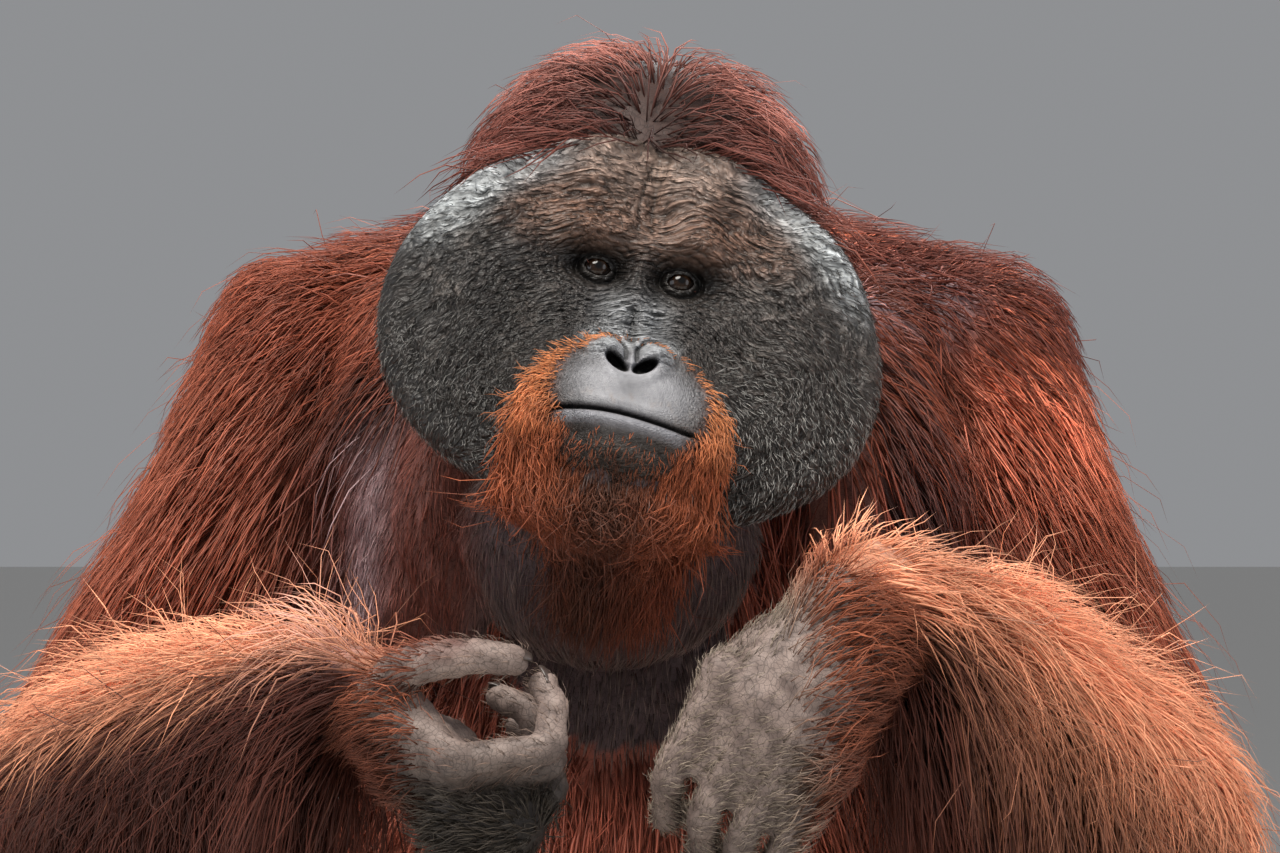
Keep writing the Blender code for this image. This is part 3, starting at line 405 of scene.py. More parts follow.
def nearest(points, target):
    """The nearest point of the target's surface for each point, and the way out of the surface there. A
    Shrinkwrap brings each point there twice, at two heights, and the way out is the step between them."""
    mesh = bpy.data.meshes.new("probe")
    mesh.vertices.add(len(points))
    place_vertices(mesh, points)
    obj = bpy.data.objects.new("probe", mesh)
    bpy.context.scene.collection.objects.link(obj)
    wrap = obj.modifiers.new("wrap", "SHRINKWRAP")
    wrap.target = target
    wrap.wrap_method = "NEAREST_SURFACEPOINT"
    wrap.wrap_mode = "ABOVE_SURFACE"
    found = []
    for height in (0.0, 0.02):
        wrap.offset = height
        graph = bpy.context.evaluated_depsgraph_get()
        graph.update()
        found.append(vertices_of(obj.evaluated_get(graph).data))
    discard(obj)
    return found[0], unit(found[1] - found[0])


# Shape of the face: how far its skin stands in front of the disc's middle plane


def outline_radius(angle):
    """The disc's radius at an angle from its left side upwards, smoothed round the full turn."""
    fine = np.arange(0, 360, 1.0)
    raw = np.interp(fine, DISC_OUTLINE[:, 0], DISC_OUTLINE[:, 1], period=360)
    window = np.hanning(29)
    smooth = np.convolve(np.tile(raw, 3), window / window.sum(), "same")[360:720]
    return np.interp(np.degrees(angle) % 360, fine, smooth, period=360) * DISC_WIDTH / 334


def bump(x, z, cx, cz, wide, high, out):
    """A rounded swelling, or a hollow where `out` is below nought."""
    return out * np.exp(-(((x - cx) / wide) ** 2) - ((z - cz) / high) ** 2)


def face_form(x, z):
    """The face's main forms, the same sum of swellings as in the solids: pads, forehead, brow, eye hollows,
    bridge, muzzle, nose and chin."""
    side = np.abs(x)
    relief = 0.010 + 0.024 * bell(side - 0.112, 0.042) * bell(z + 0.010, 0.120, 4)
    relief += bump(side, z, 0.034, 0.100, 0.030, 0.030, 0.015)
    relief -= 0.005 * bell(x, 0.006) * np.clip((z - 0.066) / 0.02, 0, 1)
    relief += bump(side, z, 0.032, 0.060, 0.028, 0.011, 0.013)
    relief += bump(side, z, EYE_SPACING / 2 + 0.001, 0.0375, 0.021, 0.013, -0.021)
    relief += bump(side, z, 0.044, 0.010, 0.024, 0.016, 0.008)
    relief += bump(x, z, 0.0, 0.016, 0.011, 0.026, 0.012)
    around = (x / 0.084) ** 2 + ((z + 0.078) / 0.064) ** 2
    relief += 0.078 * np.exp(-1.25 * around**1.7)
    relief += bump(side, z, 0.016, -0.029, 0.010, 0.009, 0.009)
    relief += bump(x, z, 0.0, -0.034, 0.006, 0.010, 0.004)
    relief -= bump(x, z, 0.0, -0.112, 0.060, 0.012, 0.006)
    return relief


def mouth_height(x):
    """The line of the mouth: a shallow bow with the corners turned a little down."""
    return MOUTH_HEIGHT + 0.0022 * np.cos(math.pi * (x + 0.012) / 0.060)


def nostril(x, z, side):
    """Distance from the middle of a nostril's slanting slit, in shares of its half length and half width."""
    slant = -side * math.radians(38)
    u = (x - side * 0.0092) * math.cos(slant) - (z + 0.0395) * math.sin(slant)
    v = (x - side * 0.0092) * math.sin(slant) + (z + 0.0395) * math.cos(slant)
    return np.sqrt((u / 0.0094) ** 2 + (v / 0.0046) ** 2)


def face_detail(x, z):
    """Folds, lips and nostrils that stand on the main forms: each a groove or ridge along a curve, its height a
    bell across the curve that fades at its ends."""
    side = np.abs(x)
    detail = bump(side, z, 0.030, 0.0515, 0.024, 0.0070, 0.0040)
    detail += bump(side, z, 0.0168, -0.0255, 0.0100, 0.0100, 0.0125) * (1 - bell(x, 0.0050))
    detail += bump(side, z, 0.0105, 0.0010, 0.0060, 0.0130, 0.0034)
    detail += bump(side, z, 0.034, 0.098, 0.024, 0.026, 0.0040)
    # Two lips along the mouth's line, parted by a narrow groove whose corners fade out
    line = z - mouth_height(x)
    along = ease(0.056, 0.044, side)
    detail -= 0.0070 * along * bell(line, 0.0016)
    detail += 0.0034 * ease(0.052, 0.030, side) * bell(line - 0.0065, 0.0060)
    detail += 0.0042 * ease(0.050, 0.026, side) * bell(line + 0.0062, 0.0046)
    detail -= 0.0026 * ease(0.048, 0.028, side) * bell(line + 0.0165, 0.0050)
    # The nostrils are pits, each with a raised wing round its outer edge and a groove behind that
    for way in SIDES:
        slit = nostril(x, z, way)
        wing = bell(slit - 1.9, 0.75) * ease(-0.004, 0.010, (x - way * 0.004) * way)
        detail += 0.0022 * wing - 0.0140 * ease(1.25, 0.60, slit)
        ring = np.sqrt(((x - way * 0.0160) / 0.0165) ** 2 + ((z + 0.0285) / 0.0165) ** 2)
        arc = ease(-0.040, -0.026, z) * ease(-0.006, 0.004, (x - way * 0.010) * way)
        detail -= 0.0045 * bell(ring - 0.95, 0.16) * arc
        # Short creases run out from the nostril's outer end
        for height, tilt in ((-0.0315, 0.45), (-0.0350, 0.10)):
            off = z - height - tilt * (x * way - 0.019)
            reach = ease(0.0165, 0.0190, x * way) * ease(0.0300, 0.0250, x * way)
            detail -= 0.0013 * bell(off, 0.0009) * reach
    # A valley runs down the bridge, then a groove on each side of the thin septum, bowed outwards at its top
    detail -= 0.0042 * bell(x, 0.0042) * ease(-0.022, -0.014, z) * ease(0.018, 0.004, z)
    bow = side - 0.0036 - 0.0050 * ease(-0.030, -0.016, z) ** 2
    detail -= 0.0085 * bell(bow, 0.0017) * ease(-0.041, -0.035, z) * ease(-0.013, -0.018, z)
    detail += 0.0030 * bell(x, 0.0024) * ease(-0.046, -0.039, z) * ease(-0.016, -0.022, z)
    # Furrows of the forehead and above the nose
    for centre, depth in ((-0.0045, 0.0026), (0.0050, 0.0016), (0.0135, 0.0009)):
        bend = centre + 0.0035 * np.sin(z / 0.017)
        detail -= depth * bell(x - bend, 0.0017) * ease(0.056, 0.072, z) * ease(0.122, 0.104, z)
    for height in (0.0440, 0.0490):
        detail -= 0.0012 * bell(z - height - 8 * x * x, 0.0012) * ease(0.013, 0.006, side)
    # Folds under and beside each eye, as arcs round it
    round_eye = np.hypot(side - EYE_SPACING / 2, (z - EYE_HEIGHT) * 1.25)
    below = ease(0.002, -0.007, z - EYE_HEIGHT)
    for radius, depth in ((0.0215, 0.0016), (0.0262, 0.0013), (0.0315, 0.0010), (0.0372, 0.0007)):
        crease = round_eye - radius - 0.0011 * np.sin(side * 260)
        detail -= depth * below * bell(crease, 0.0011)
    above = ease(0.004, 0.011, z - EYE_HEIGHT)
    for radius, depth in ((0.0200, 0.0014), (0.0248, 0.0009)):
        detail -= depth * above * bell(round_eye - radius, 0.0011)
    # Long creases of each pad, from its inner edge outwards
    fan = np.arctan2(z - 0.02, side - 0.03)
    away = ease(0.060, 0.085, side) * ease(0.150, 0.125, side)
    detail += 0.0007 * away * np.sin(fan * 34 + 2.0 * np.sin(side * 90)) * ease(0.085, 0.050, np.abs(z + 0.01))
    return detail


def crease_lie(x, z):
    """Coordinates that follow the creases, which run in arches round the muzzle: the logarithm of the distance from
    it, a little wider than high, and the cosine and sine of the angle round it."""
    points = np.stack([x, np.zeros_like(x), z], -1).reshape(-1, 3)
    drift = waves(points, 0.060, 8, 2).reshape(x.shape)
    across, up = x / 1.3 + 0.008 * drift, z + 0.058 + 0.006 * drift
    reach = np.sqrt(across**2 + up**2 + 1e-8)
    return np.stack([np.log((reach + 0.012) / 0.01), across / reach, up / reach], -1)


def crease_share(x, z):
    """How creased the skin is: 1 on forehead and pads, little on lips, nose, lids and sockets."""
    smooth = np.exp(-((((x - 0.004) / 0.052) ** 2 + ((z + 0.064) / 0.043) ** 2) ** 2))
    eye = np.hypot((np.abs(x) - EYE_SPACING / 2 - 0.003) / 1.25, z - EYE_HEIGHT - 0.002)
    return (1 - 0.93 * smooth) * (1 - 0.80 * bell(eye, 0.0175, 4))


def wrinkles(x, z):
    """Coarse relief of the old skin: ridged noise drawn out along the creases, and soft lumps."""
    even = np.stack([x, np.zeros_like(x), z], -1).reshape(-1, 3)
    lie = (crease_lie(x, z) * [15.0, 5.0, 5.0]).reshape(-1, 3)
    creases = -np.abs(waves(lie, 1.0, 3, 2)).reshape(x.shape)
    lumps = waves(even, 0.030, 5, 3).reshape(x.shape)
    return (0.0020 * creases + 0.0018 * lumps) * crease_share(x, z)


def hollows(x, z):
    """1 on sharp ridges, -1 in grooves: the relief against its mean on a ring round the place."""
    total = 0.0
    for angle in np.arange(8) * math.pi / 4:
        total = total + face_relief(x + 0.0024 * math.cos(angle), z + 0.0024 * math.sin(angle))
    return np.clip((face_relief(x, z) - total / 8) / 0.0007, -1, 1)


def face_relief(x, z):
    """The skin of the face: the sum of its main forms, its folds and its wrinkles."""
    return face_form(x, z) + face_detail(x, z) + wrinkles(x, z)


def eye_dip(x, z):
    """How far the face's own sheet sinks behind the eyeball and its lids: a rounded dish at each eye."""
    reach = np.hypot((np.abs(x) - EYE_SPACING / 2) / 0.0155, (z - EYE_HEIGHT) / 0.0122)
    return 0.022 * ease(1.0, 0.68, reach)


def inside_face(points):
    """True for places inside the facial disc: within its outline, behind its relief and in front of its back."""
    head = in_head(points)
    x, y, z = head.T
    share = np.hypot(x, z) / outline_radius(np.arctan2(z, x))
    back = np.interp(share, [0.45, 0.80, 0.96], [0.043, 0.020, 0.0])
    return (share < 0.96) & (y < back) & (y > 0.006 - face_form(x, z))


# Colours of skin and coat by place


def layered(base, layers):
    """A base colour with each (colour, share) laid over it in turn."""
    tint = np.broadcast_to(linear(base), (*layers[0][1].shape, 3)).copy()
    for colour, share in layers:
        tint = mix(tint, linear(colour), np.clip(share, 0, 1)[..., None])
    return tint


def bare_muzzle(x, z):
    """Below 1 on lips, nose and chin, and growing with the distance from them."""
    bare = np.hypot((x - 0.004) / 0.049, (z + 0.060) / 0.044)
    return np.minimum(bare, np.hypot((x - 0.001) / 0.034, (z + 0.098) / 0.018))


def muzzle_hair(x, z):
    """1 where the orange hair of the muzzle and the beard grows, 0 on the bare lips, nose and face."""
    bare = bare_muzzle(x, z)
    outer = np.hypot((x - 0.001) / 0.071, (z + 0.092) / 0.078)
    top = -0.009 - 0.15 * np.abs(x)
    return ease(0.92, 1.22, bare) * ease(1.06, 0.92, outer) * ease(0.012, -0.010, z - top)


def face_colours(x, z):
    """Skin of the face: charcoal pads, brown forehead, blue-grey bridge, bare upper rims, lilac-grey lip, dark
    stubbled chin. Over it lie painted light and shade: a pale blue-grey painted highlight on the upper rims,
    near-black painted shadow in the sockets, painted shade on the lower pads, on the face's right side, in the
    mouth's line and the nostrils, and painted shade in grooves with painted highlight on ridges."""
    side = np.abs(x)
    angle = np.arctan2(z, x)
    share = np.hypot(x, z) / outline_radius(angle)
    points = np.stack([x, np.zeros_like(x), z], -1).reshape(-1, 3)
    patchy = waves(points, 0.034, 11, 3).reshape(x.shape)
    fine = waves(points, 0.007, 12, 2).reshape(x.shape)
    lift = z - EYE_HEIGHT - 0.002
    round_eye = np.hypot((side - EYE_SPACING / 2 - 0.003) * 0.85, lift * np.where(lift > 0, 2.25, 1.45))
    # The upper rims' mask, for a painted highlight where they curve up towards the light
    upper = ease(0.010, 0.060, z)
    rim = ease(0.76, 0.93, share) * upper * ease(0.040, 0.080, side)
    lip = np.exp(-((((x - 0.004) / 0.046) ** 2 + ((z + 0.056) / 0.030) ** 2) ** 2))
    line = z - mouth_height(x)
    layers = [
        # Painted shade: the lower pad on the face's right side is darker, and the face grows lighter towards its
        # left, the side that the light falls on
        ("#2E2A28", ease(-0.03, -0.10, x) * ease(0.03, -0.03, z) * 0.75),
        ("#514945", ease(-0.10, 0.16, x) * 0.8),
        ("#635C57", ease(0.1, 0.8, patchy) * 0.5),
        # Painted shade on the lower parts of both pads
        ("#2C2724", ease(0.01, -0.07, z) * ease(0.050, 0.085, side) * 0.7),
        ("#7E665A", ease(0.034, 0.062, z) * ease(0.120, 0.070, side)),
        ("#A99488", ease(0.070, 0.100, z + 0.012 * patchy) * ease(0.080, 0.030, side) * 0.55),
        ("#6A4836", np.exp(-(((side - 0.045) / 0.034) ** 2) - ((z - 0.070) / 0.024) ** 2) * 0.6),
        # Painted highlight: the bare upper rims are painted pale blue-grey, where they curve up towards the light
        ("#CCD2D5", rim * (0.74 + 0.22 * fine)),
        ("#8A6252", ease(0.92, 1.0, share) * ease(-0.02, 0.06, x) * 0.45),
        ("#8E9093", np.exp(-(((side - 0.010) / 0.016) ** 2) - ((z - 0.002) / 0.020) ** 2)),
        # Painted shadow: the sockets under the brow are painted near black, darkest round the eyes
        ("#2A2522", bell(round_eye, 0.027, 4) * 0.90),
        ("#12100F", bell(round_eye, 0.0180, 4) * 0.95),
        ("#B9BDC1", np.exp(-(((side - 0.015) / 0.018) ** 4) - ((z + 0.024) / 0.015) ** 4) * 0.95),
        ("#A3A3A8", lip),
        ("#8A7F78", lip * ease(0.0, 0.9, fine) * ease(-0.050, -0.070, z) * 0.6),
        ("#8A5540", muzzle_hair(x, z) * 0.85),
        ("#453B35", np.exp(-(((x - 0.001) / 0.038) ** 4) - ((z + 0.106) / 0.016) ** 4) * 0.9),
        ("#84848A", ease(0.050, 0.034, side) * bell(line + 0.0062, 0.0046, 4)),
        # Painted shade along the groove between the lips
        ("#2A2221", ease(0.055, 0.045, side) * bell(line, 0.0019)),
    ]
    # Painted shade: the nostril pits are painted near black
    for way in SIDES:
        layers.append(("#0B0808", ease(1.22, 0.80, nostril(x, z, way))))
    tint = layered("#3E3A38", layers)
    # Painted shade in the grooves and painted highlight on the ridges of the relief
    depth = hollows(x, z)
    depth = np.where(depth < 0, 0.55, 0.30) * depth
    return tint * ((0.84 + 0.16 * fine + 0.10 * patchy) * (1 + depth))[..., None]


# The limbs and trunk as axes, each with the lie of its hair


def part_axes():
    """(name, start, end, radius at each) for every part of the body that carries skin of its own."""
    axes = [
        ("trunk", (0, 0.060, 0.10), (0, 0.085, 0.66), 0.180, 0.140),
        ("neck", (0, 0.110, 0.715), (0, -0.060, 0.730), 0.110, 0.088),
        ("crown", on_head([0, 0.080, 0.090]), on_head([0, 0.060, 0.060]), 0.098, 0.090),
        ("jaw", on_head([0, 0.040, -0.040]), on_head([0.0, -0.020, -0.100]), 0.075, 0.050),
        ("throat", (-0.020, -0.140, 0.600), (-0.020, -0.140, 0.550), 0.092, 0.086),
    ]
    for side in SIDES:
        tag, shoulder = TAG[side], side_of(SHOULDER, side)
        hip, knee, ankle = leg_joints(side)
        axes += [
            ("girdle_" + tag, shoulder + [-side * 0.10, 0.01, 0.025], shoulder, 0.076, 0.074),
            ("upper_" + tag, shoulder, ELBOW[side], 0.074, 0.052),
            ("fore_" + tag, ELBOW[side], WRIST[side], 0.056, 0.030),
            ("hand_" + tag, WRIST[side] + (KNUCKLES[side] - WRIST[side]) * 0.35, KNUCKLES[side], 0.034, 0.040),
            ("thigh_" + tag, hip, knee, 0.088, 0.054),
            ("shank_" + tag, knee, ankle, 0.050, 0.034),
            ("foot_" + tag, side_of((0.184, -0.265, 0.030), side), side_of((0.196, -0.44, 0.02), side), 0.036, 0.040),
        ]
    return [(name, np.array(a, float), np.array(b, float), ra, rb) for name, a, b, ra, rb in axes]


AXES = part_axes()
NAMES = [axis[0] for axis in AXES]
KINDS = np.array([name.split("_")[0] for name in NAMES])


def steady(way):
    """A lie that is the same everywhere."""
    return lambda p: np.broadcast_to(np.asarray(way, float), p.shape)


def hair_ways():
    """The way that the hair of each part runs, as a function of place, in the order of the axes."""
    ways = {
        "trunk": lambda p: np.stack([p[:, 0] * 0.8, (p[:, 1] - 0.05) * 0.8, -np.ones(len(p))], -1),
        "neck": lambda p: np.stack([p[:, 0] * 3, 0.6 + 0 * p[:, 0], -0.9 + 0 * p[:, 0]], -1),
        "crown": crown_way,
        "jaw": steady(TURN @ np.array([0, 0.2, -1.0])),
        "throat": lambda p: np.stack([p[:, 0] * 1.0, 0 * p[:, 0], -np.ones(len(p))], -1),
    }

    def fore_way(elbow, wrist):
        """Towards the elbow on top of the arm, and straight down from its underside."""
        reach = wrist - elbow

        def way(p):
            along = np.clip((p - elbow) @ reach / (reach @ reach), 0, 1)
            below = ease(0.0, -0.045, p[:, 2] - mix(elbow[2], wrist[2], along))[:, None]
            return mix(unit(elbow - wrist) * 0.9 + [0, 0, -0.55], np.array([0, -0.1, -1.2]), below * 0.85)

        return way

    for side in SIDES:
        tag, shoulder, elbow, wrist = TAG[side], side_of(SHOULDER, side), ELBOW[side], WRIST[side]
        hip, knee, ankle = leg_joints(side)
        ways["girdle_" + tag] = steady([side * 0.75, 0.15, -0.62])
        ways["upper_" + tag] = steady(unit(elbow - shoulder) + [side * 0.15, 0, 0])
        ways["fore_" + tag] = fore_way(elbow, wrist)
        ways["hand_" + tag] = steady(unit(wrist - KNUCKLES[side]) + [0, 0, -0.3])
        ways["thigh_" + tag] = steady(unit(knee - hip) * 0.4 + [0, 0, -0.8])
        ways["shank_" + tag] = steady(unit(ankle - knee) + [side * 0.15, 0.25, 0])
        ways["foot_" + tag] = steady([side * 0.1, -1.0, -0.2])
    return [ways[name] for name in NAMES]


PARTING = np.array([-0.010, 0.010, 0.128])  # where the hair of the crown starts, in the head's axes


def crown_way(points):
    """The hair of the crown runs away from its parting over the forehead, and down towards the sides."""
    head = in_head(points)
    away = unit((head - PARTING) * [1.6, 1.0, 0.7])
    sideways = np.stack([np.tanh(head[:, 0] / 0.03), np.full(len(head), 0.15), np.full(len(head), -0.75)], -1)
    reach = np.linalg.norm(head - PARTING, axis=1, keepdims=True)
    return mix(away, sideways, ease(0.02, 0.11, reach)) @ TURN.T


def part_distances(points):
    """For each point its distance off every part's skin, taken as a tapered tube, and its share along the part."""
    gaps, shares = [], []
    for _, a, b, ra, rb in AXES:
        along = np.clip(((points - a) @ (b - a)) / ((b - a) @ (b - a)), 0, 1)
        off = np.linalg.norm(points - a - along[:, None] * (b - a), axis=1)
        gaps.append(off - mix(ra, rb, along))
        shares.append(along)
    return np.array(gaps), np.array(shares)


def nearest_part(points):
    """The kind of the part whose skin is nearest to each point, and the point's share along that part."""
    gaps, shares = part_distances(points)
    part = gaps.argmin(0)
    return KINDS[part], shares[part, np.arange(len(points))]


def body_way(points):
    """The lie of the hair at each point: the parts' lies blended by how near each part's skin is."""
    gaps, _ = part_distances(points)
    weights = np.exp(-(gaps - gaps.min(0)) / 0.018)
    total = np.zeros_like(points)
    for weight, way in zip(weights, hair_ways()):
        total += weight[:, None] * unit(way(points))
    return unit(total)


def bare_places(points):
    """1 on the patches where the coat is worn or thin: shoulders, wrists, backs of the hands and beside the neck."""
    spots = [
        ((0.188, -0.015, 0.765), 0.054), ((-0.160, -0.010, 0.780), 0.034), ((0.150, -0.285, 0.565), 0.024),
        ((0.085, -0.320, 0.480), 0.040), ((-0.150, -0.325, 0.500), 0.040), ((-0.120, -0.335, 0.450), 0.040),
        ((-0.155, -0.070, 0.600), 0.060), ((-0.150, -0.060, 0.540), 0.040),
    ]
    share = np.zeros(len(points))
    for centre, reach in spots:
        share = np.maximum(share, bell(distance(points, centre), reach, 3))
    return share


def coat_colours(points, normals):
    """Hair colour by place: rust on the arms, orange on the forearms, dull maroon on the crown, grey on fists and
    knuckles, with a slow drift over all. Over it lie painted light and shade: dark maroon painted shade on hair
    that faces down and on the arms' inner sides, lighter hair where it faces up, and a pale painted highlight along
    the tops of the forearms."""
    kind, share = nearest_part(points)
    x, _, z = points.T
    right, left, raised = x < 0, x > 0, z > 0.2
    up, front = ease(-0.7, 0.8, normals[:, 2]), ease(0.5, -0.6, normals[:, 1])
    # Painted shade and light: hair that faces down is painted dark maroon, hair that faces up rust
    tint = blend("#5A281C", "#8E4128", up)
    # The arms: painted light where the left shoulder faces the light, painted shade on their inner sides, grey where
    # it is worn
    arm = np.isin(kind, ["upper", "girdle"]) | ((x > 0.12) & (z > 0.70))
    sunny = 0.90 + 1.60 * ease(0.60, 0.68, z) * front
    shoulder = blend("#6A3225", "#BC6B50", up * 0.7 + 0.3 * front) * np.where(left, sunny, 1.0)[:, None]
    shoulder = mix(shoulder, linear("#8E4330"), share[:, None] * 0.5)
    inner = ease(0.245, 0.180, np.abs(x)) * ease(0.735, 0.690, z) * front
    shaded = np.where(left[:, None], linear("#644846"), linear("#3A211C"))
    paint(tint, [(arm, mix(shoulder, shaded, inner[:, None] * 0.85))])
    wear_and_painted_light = bell(distance(points, [0.182, -0.020, 0.770]), 0.062, 4)
    tint = mix(tint, linear("#BBA3A8"), (wear_and_painted_light * 0.85)[:, None])
    # Along the forearms, how far the skin faces up and to the light, for painted shade below and a painted highlight
    # on top
    facing, least = np.where(left, 0.60, 0.20), np.where(left, -0.35, 0.48)
    over = ease(0, 1, (normals[:, 2] - facing * normals[:, 1] - least) / (0.95 - least))
    ends = np.isin(kind, ENDS)
    # Painted light: trunk front, crown, neck, hands and feet are lighter where the hair faces up
    paint(tint, [
        (kind == "fore", blend("#572A1E", "#FFB189", over)),
        ((kind == "trunk") & (normals[:, 1] < 0), blend("#B0604C", "#C06A54", up)),
        (np.isin(kind, ["crown", "neck"]), blend("#6A342B", "#A96A5B", up)),
        (ends, blend("#6A3826", "#B86B4C", up)),
    ])
    tint[np.isin(kind, THROAT)] = linear("#7C6862")
    for colour, laid in (
        ("#453D35", ease(-0.150, -0.130, x) * ease(0.440, 0.415, z) * right * raised),
        ("#8C776A", ease(-0.135, -0.115, x) * right * ease(0.415, 0.440, z)),
        ("#9A8B7C", ease(0.115, 0.085, x) * left * raised),
    ):
        paint(tint, [(ends, mix(tint, linear(colour), laid[:, None]))])
    tint = mix(tint, fold_colours(points, "#8A4E40", "#C4AAAE"), neck_fold(points)[:, None])
    return tint * (1 + 0.16 * waves(points, 0.16, 21, 2))[:, None]


def neck_fold(points):
    """1 on the fold of thin, short fur between the right cheek pad and the chest."""
    x, y, z = points.T
    across = ease(-0.095, -0.125, x) * ease(-0.245, -0.215, x)
    return across * ease(0.49, 0.53, z) * ease(0.680, 0.645, z) * ease(0.06, 0.0, y)


def fold_colours(points, dark, pale):
    """The fold's colour, with the pale streak that runs down its middle."""
    streak = bell(points[:, 0] + 0.176 + 0.13 * (0.638 - points[:, 2]), 0.014)
    return blend(dark, pale, streak * 0.85)


def skin_colours(points, normals):
    """Skin under the coat: the hair's colour darkened, partly dark skin and partly painted shade between the hairs,
    and the bare grey of throat, hands, feet and patches.
    """
    kind, _ = nearest_part(points)
    x, _, z = points.T
    patchy = 0.5 + 0.5 * waves(points, 0.022, 31, 3)
    # Painted shade: the hands are dark on their lower parts and lighter above, where the light falls
    lit = np.where(x < 0, ease(0.395, 0.470, z), 0.55 + 0.45 * ease(0.36, 0.45, z))
    hands = mix(linear("#2A2522"), blend("#5A4C47", "#93827A", patchy), lit[:, None])
    neck = (kind == "neck") | ((kind == "trunk") & (z > 0.50) & (normals[:, 1] < 0.2))
    # Painted shadow: the neck is dark at its top, under the cheek pad
    neck_tint = mix(blend("#7A524B", "#A0746B", patchy), linear("#33241F"), ease(0.640, 0.670, z)[:, None])
    # Painted shade: skin under the coat takes the hair's colour darkened towards dark skin, so that gaps in the coat
    # read as shade
    tint = mix(coat_colours(points, normals) * 0.70, linear("#4A3430"), 0.25)
    paint(tint, [
        (np.isin(kind, ENDS), hands),
        (np.isin(kind, THROAT), blend("#45383A", "#5E4B4B", patchy)),
        (neck, neck_tint),
    ])
    tint[kind == "crown"] = linear("#33201B")
    tint = mix(tint, fold_colours(points, "#6A4038", "#94797B"), neck_fold(points)[:, None])
    shoulder = np.isin(kind, ["girdle", "upper"]) * bare_places(points)
    return mix(tint, linear("#A0949C"), (shoulder * 0.95 * (z > 0.70))[:, None])


# The pieces


def dress(obj, material, nodes=()):
    """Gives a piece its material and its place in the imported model."""
    obj.data.materials.clear()
    obj.data.materials.append(material)
    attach(obj, "root")
    if nodes:
        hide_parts(*nodes)


def face_points(turns, rings):
    """Rows of the facial disc from its middle outwards: the relief on rings of its outline, a rounded rim, and a
    back that narrows into the head. Gives the points, the faces and each point's place on the flat face."""
    angle = np.linspace(0, 2 * math.pi, turns, endpoint=False)
    edge = outline_radius(angle) - DISC_RIM
    rows, places = [], []

    def add_row(radius, depth, place_radius):
        rows.append(np.stack([radius * np.cos(angle), depth + 0 * angle, radius * np.sin(angle)], 1))
        places.append(np.stack([place_radius * np.cos(angle), place_radius * np.sin(angle)], 1))

    for share in np.linspace(0, 1, rings + 1)[1:]:
        x, z = edge * share * np.cos(angle), edge * share * np.sin(angle)
        add_row(edge * share, eye_dip(x, z) - face_relief(x, z), edge * share)
    front = -rows[-1][:, 1]
    for bend in np.radians(np.linspace(12, 180, 15)):
        depth = DISC_RIM * (1 - math.cos(bend)) - front
        add_row(edge + DISC_RIM * math.sin(bend), depth, edge + DISC_RIM * bend * 0.5)
    for share, depth in ((0.93, 0.006), (0.80, 0.020), (0.62, 0.032), (0.40, 0.042), (0.15, 0.046)):
        add_row(edge * share, depth, edge * 1.1)
    middle = -float(face_relief(np.zeros(1), np.zeros(1))[0])
    points = np.vstack(rows + [[[0, middle, 0]], [[0, 0.046, 0]]])
    count = len(rows)
    caps = [fan_faces(count * turns, 0, turns), fan_faces(count * turns + 1, (count - 1) * turns, turns, True)]
    return points, [grid_faces(count, turns), np.vstack(caps)], np.vstack(places + [[[0.0, 0.0]], [[0.15, 0.0]]])


def set_creases(mesh, x, z):
    """Gives each vertex its place along the creases and how creased it is."""
    lie, creased = crease_lie(x, z).astype(np.float32), crease_share(x, z).astype(np.float32)
    mesh.attributes.new("Lie", "FLOAT_VECTOR", "POINT").data.foreach_set("vector", lie.ravel())
    mesh.attributes.new("Creased", "FLOAT", "POINT").data.foreach_set("value", creased.ravel())


def face_piece():
    """The face with its two pads as one closed disc."""
    points, faces, places = face_points(FACE_TURNS, FACE_RINGS)
    x, z = places.T
    face = new_object("face", on_head(points), [f[:, ::-1] for f in faces], face_colours(x, z))
    set_creases(face.data, x, z)
    return face


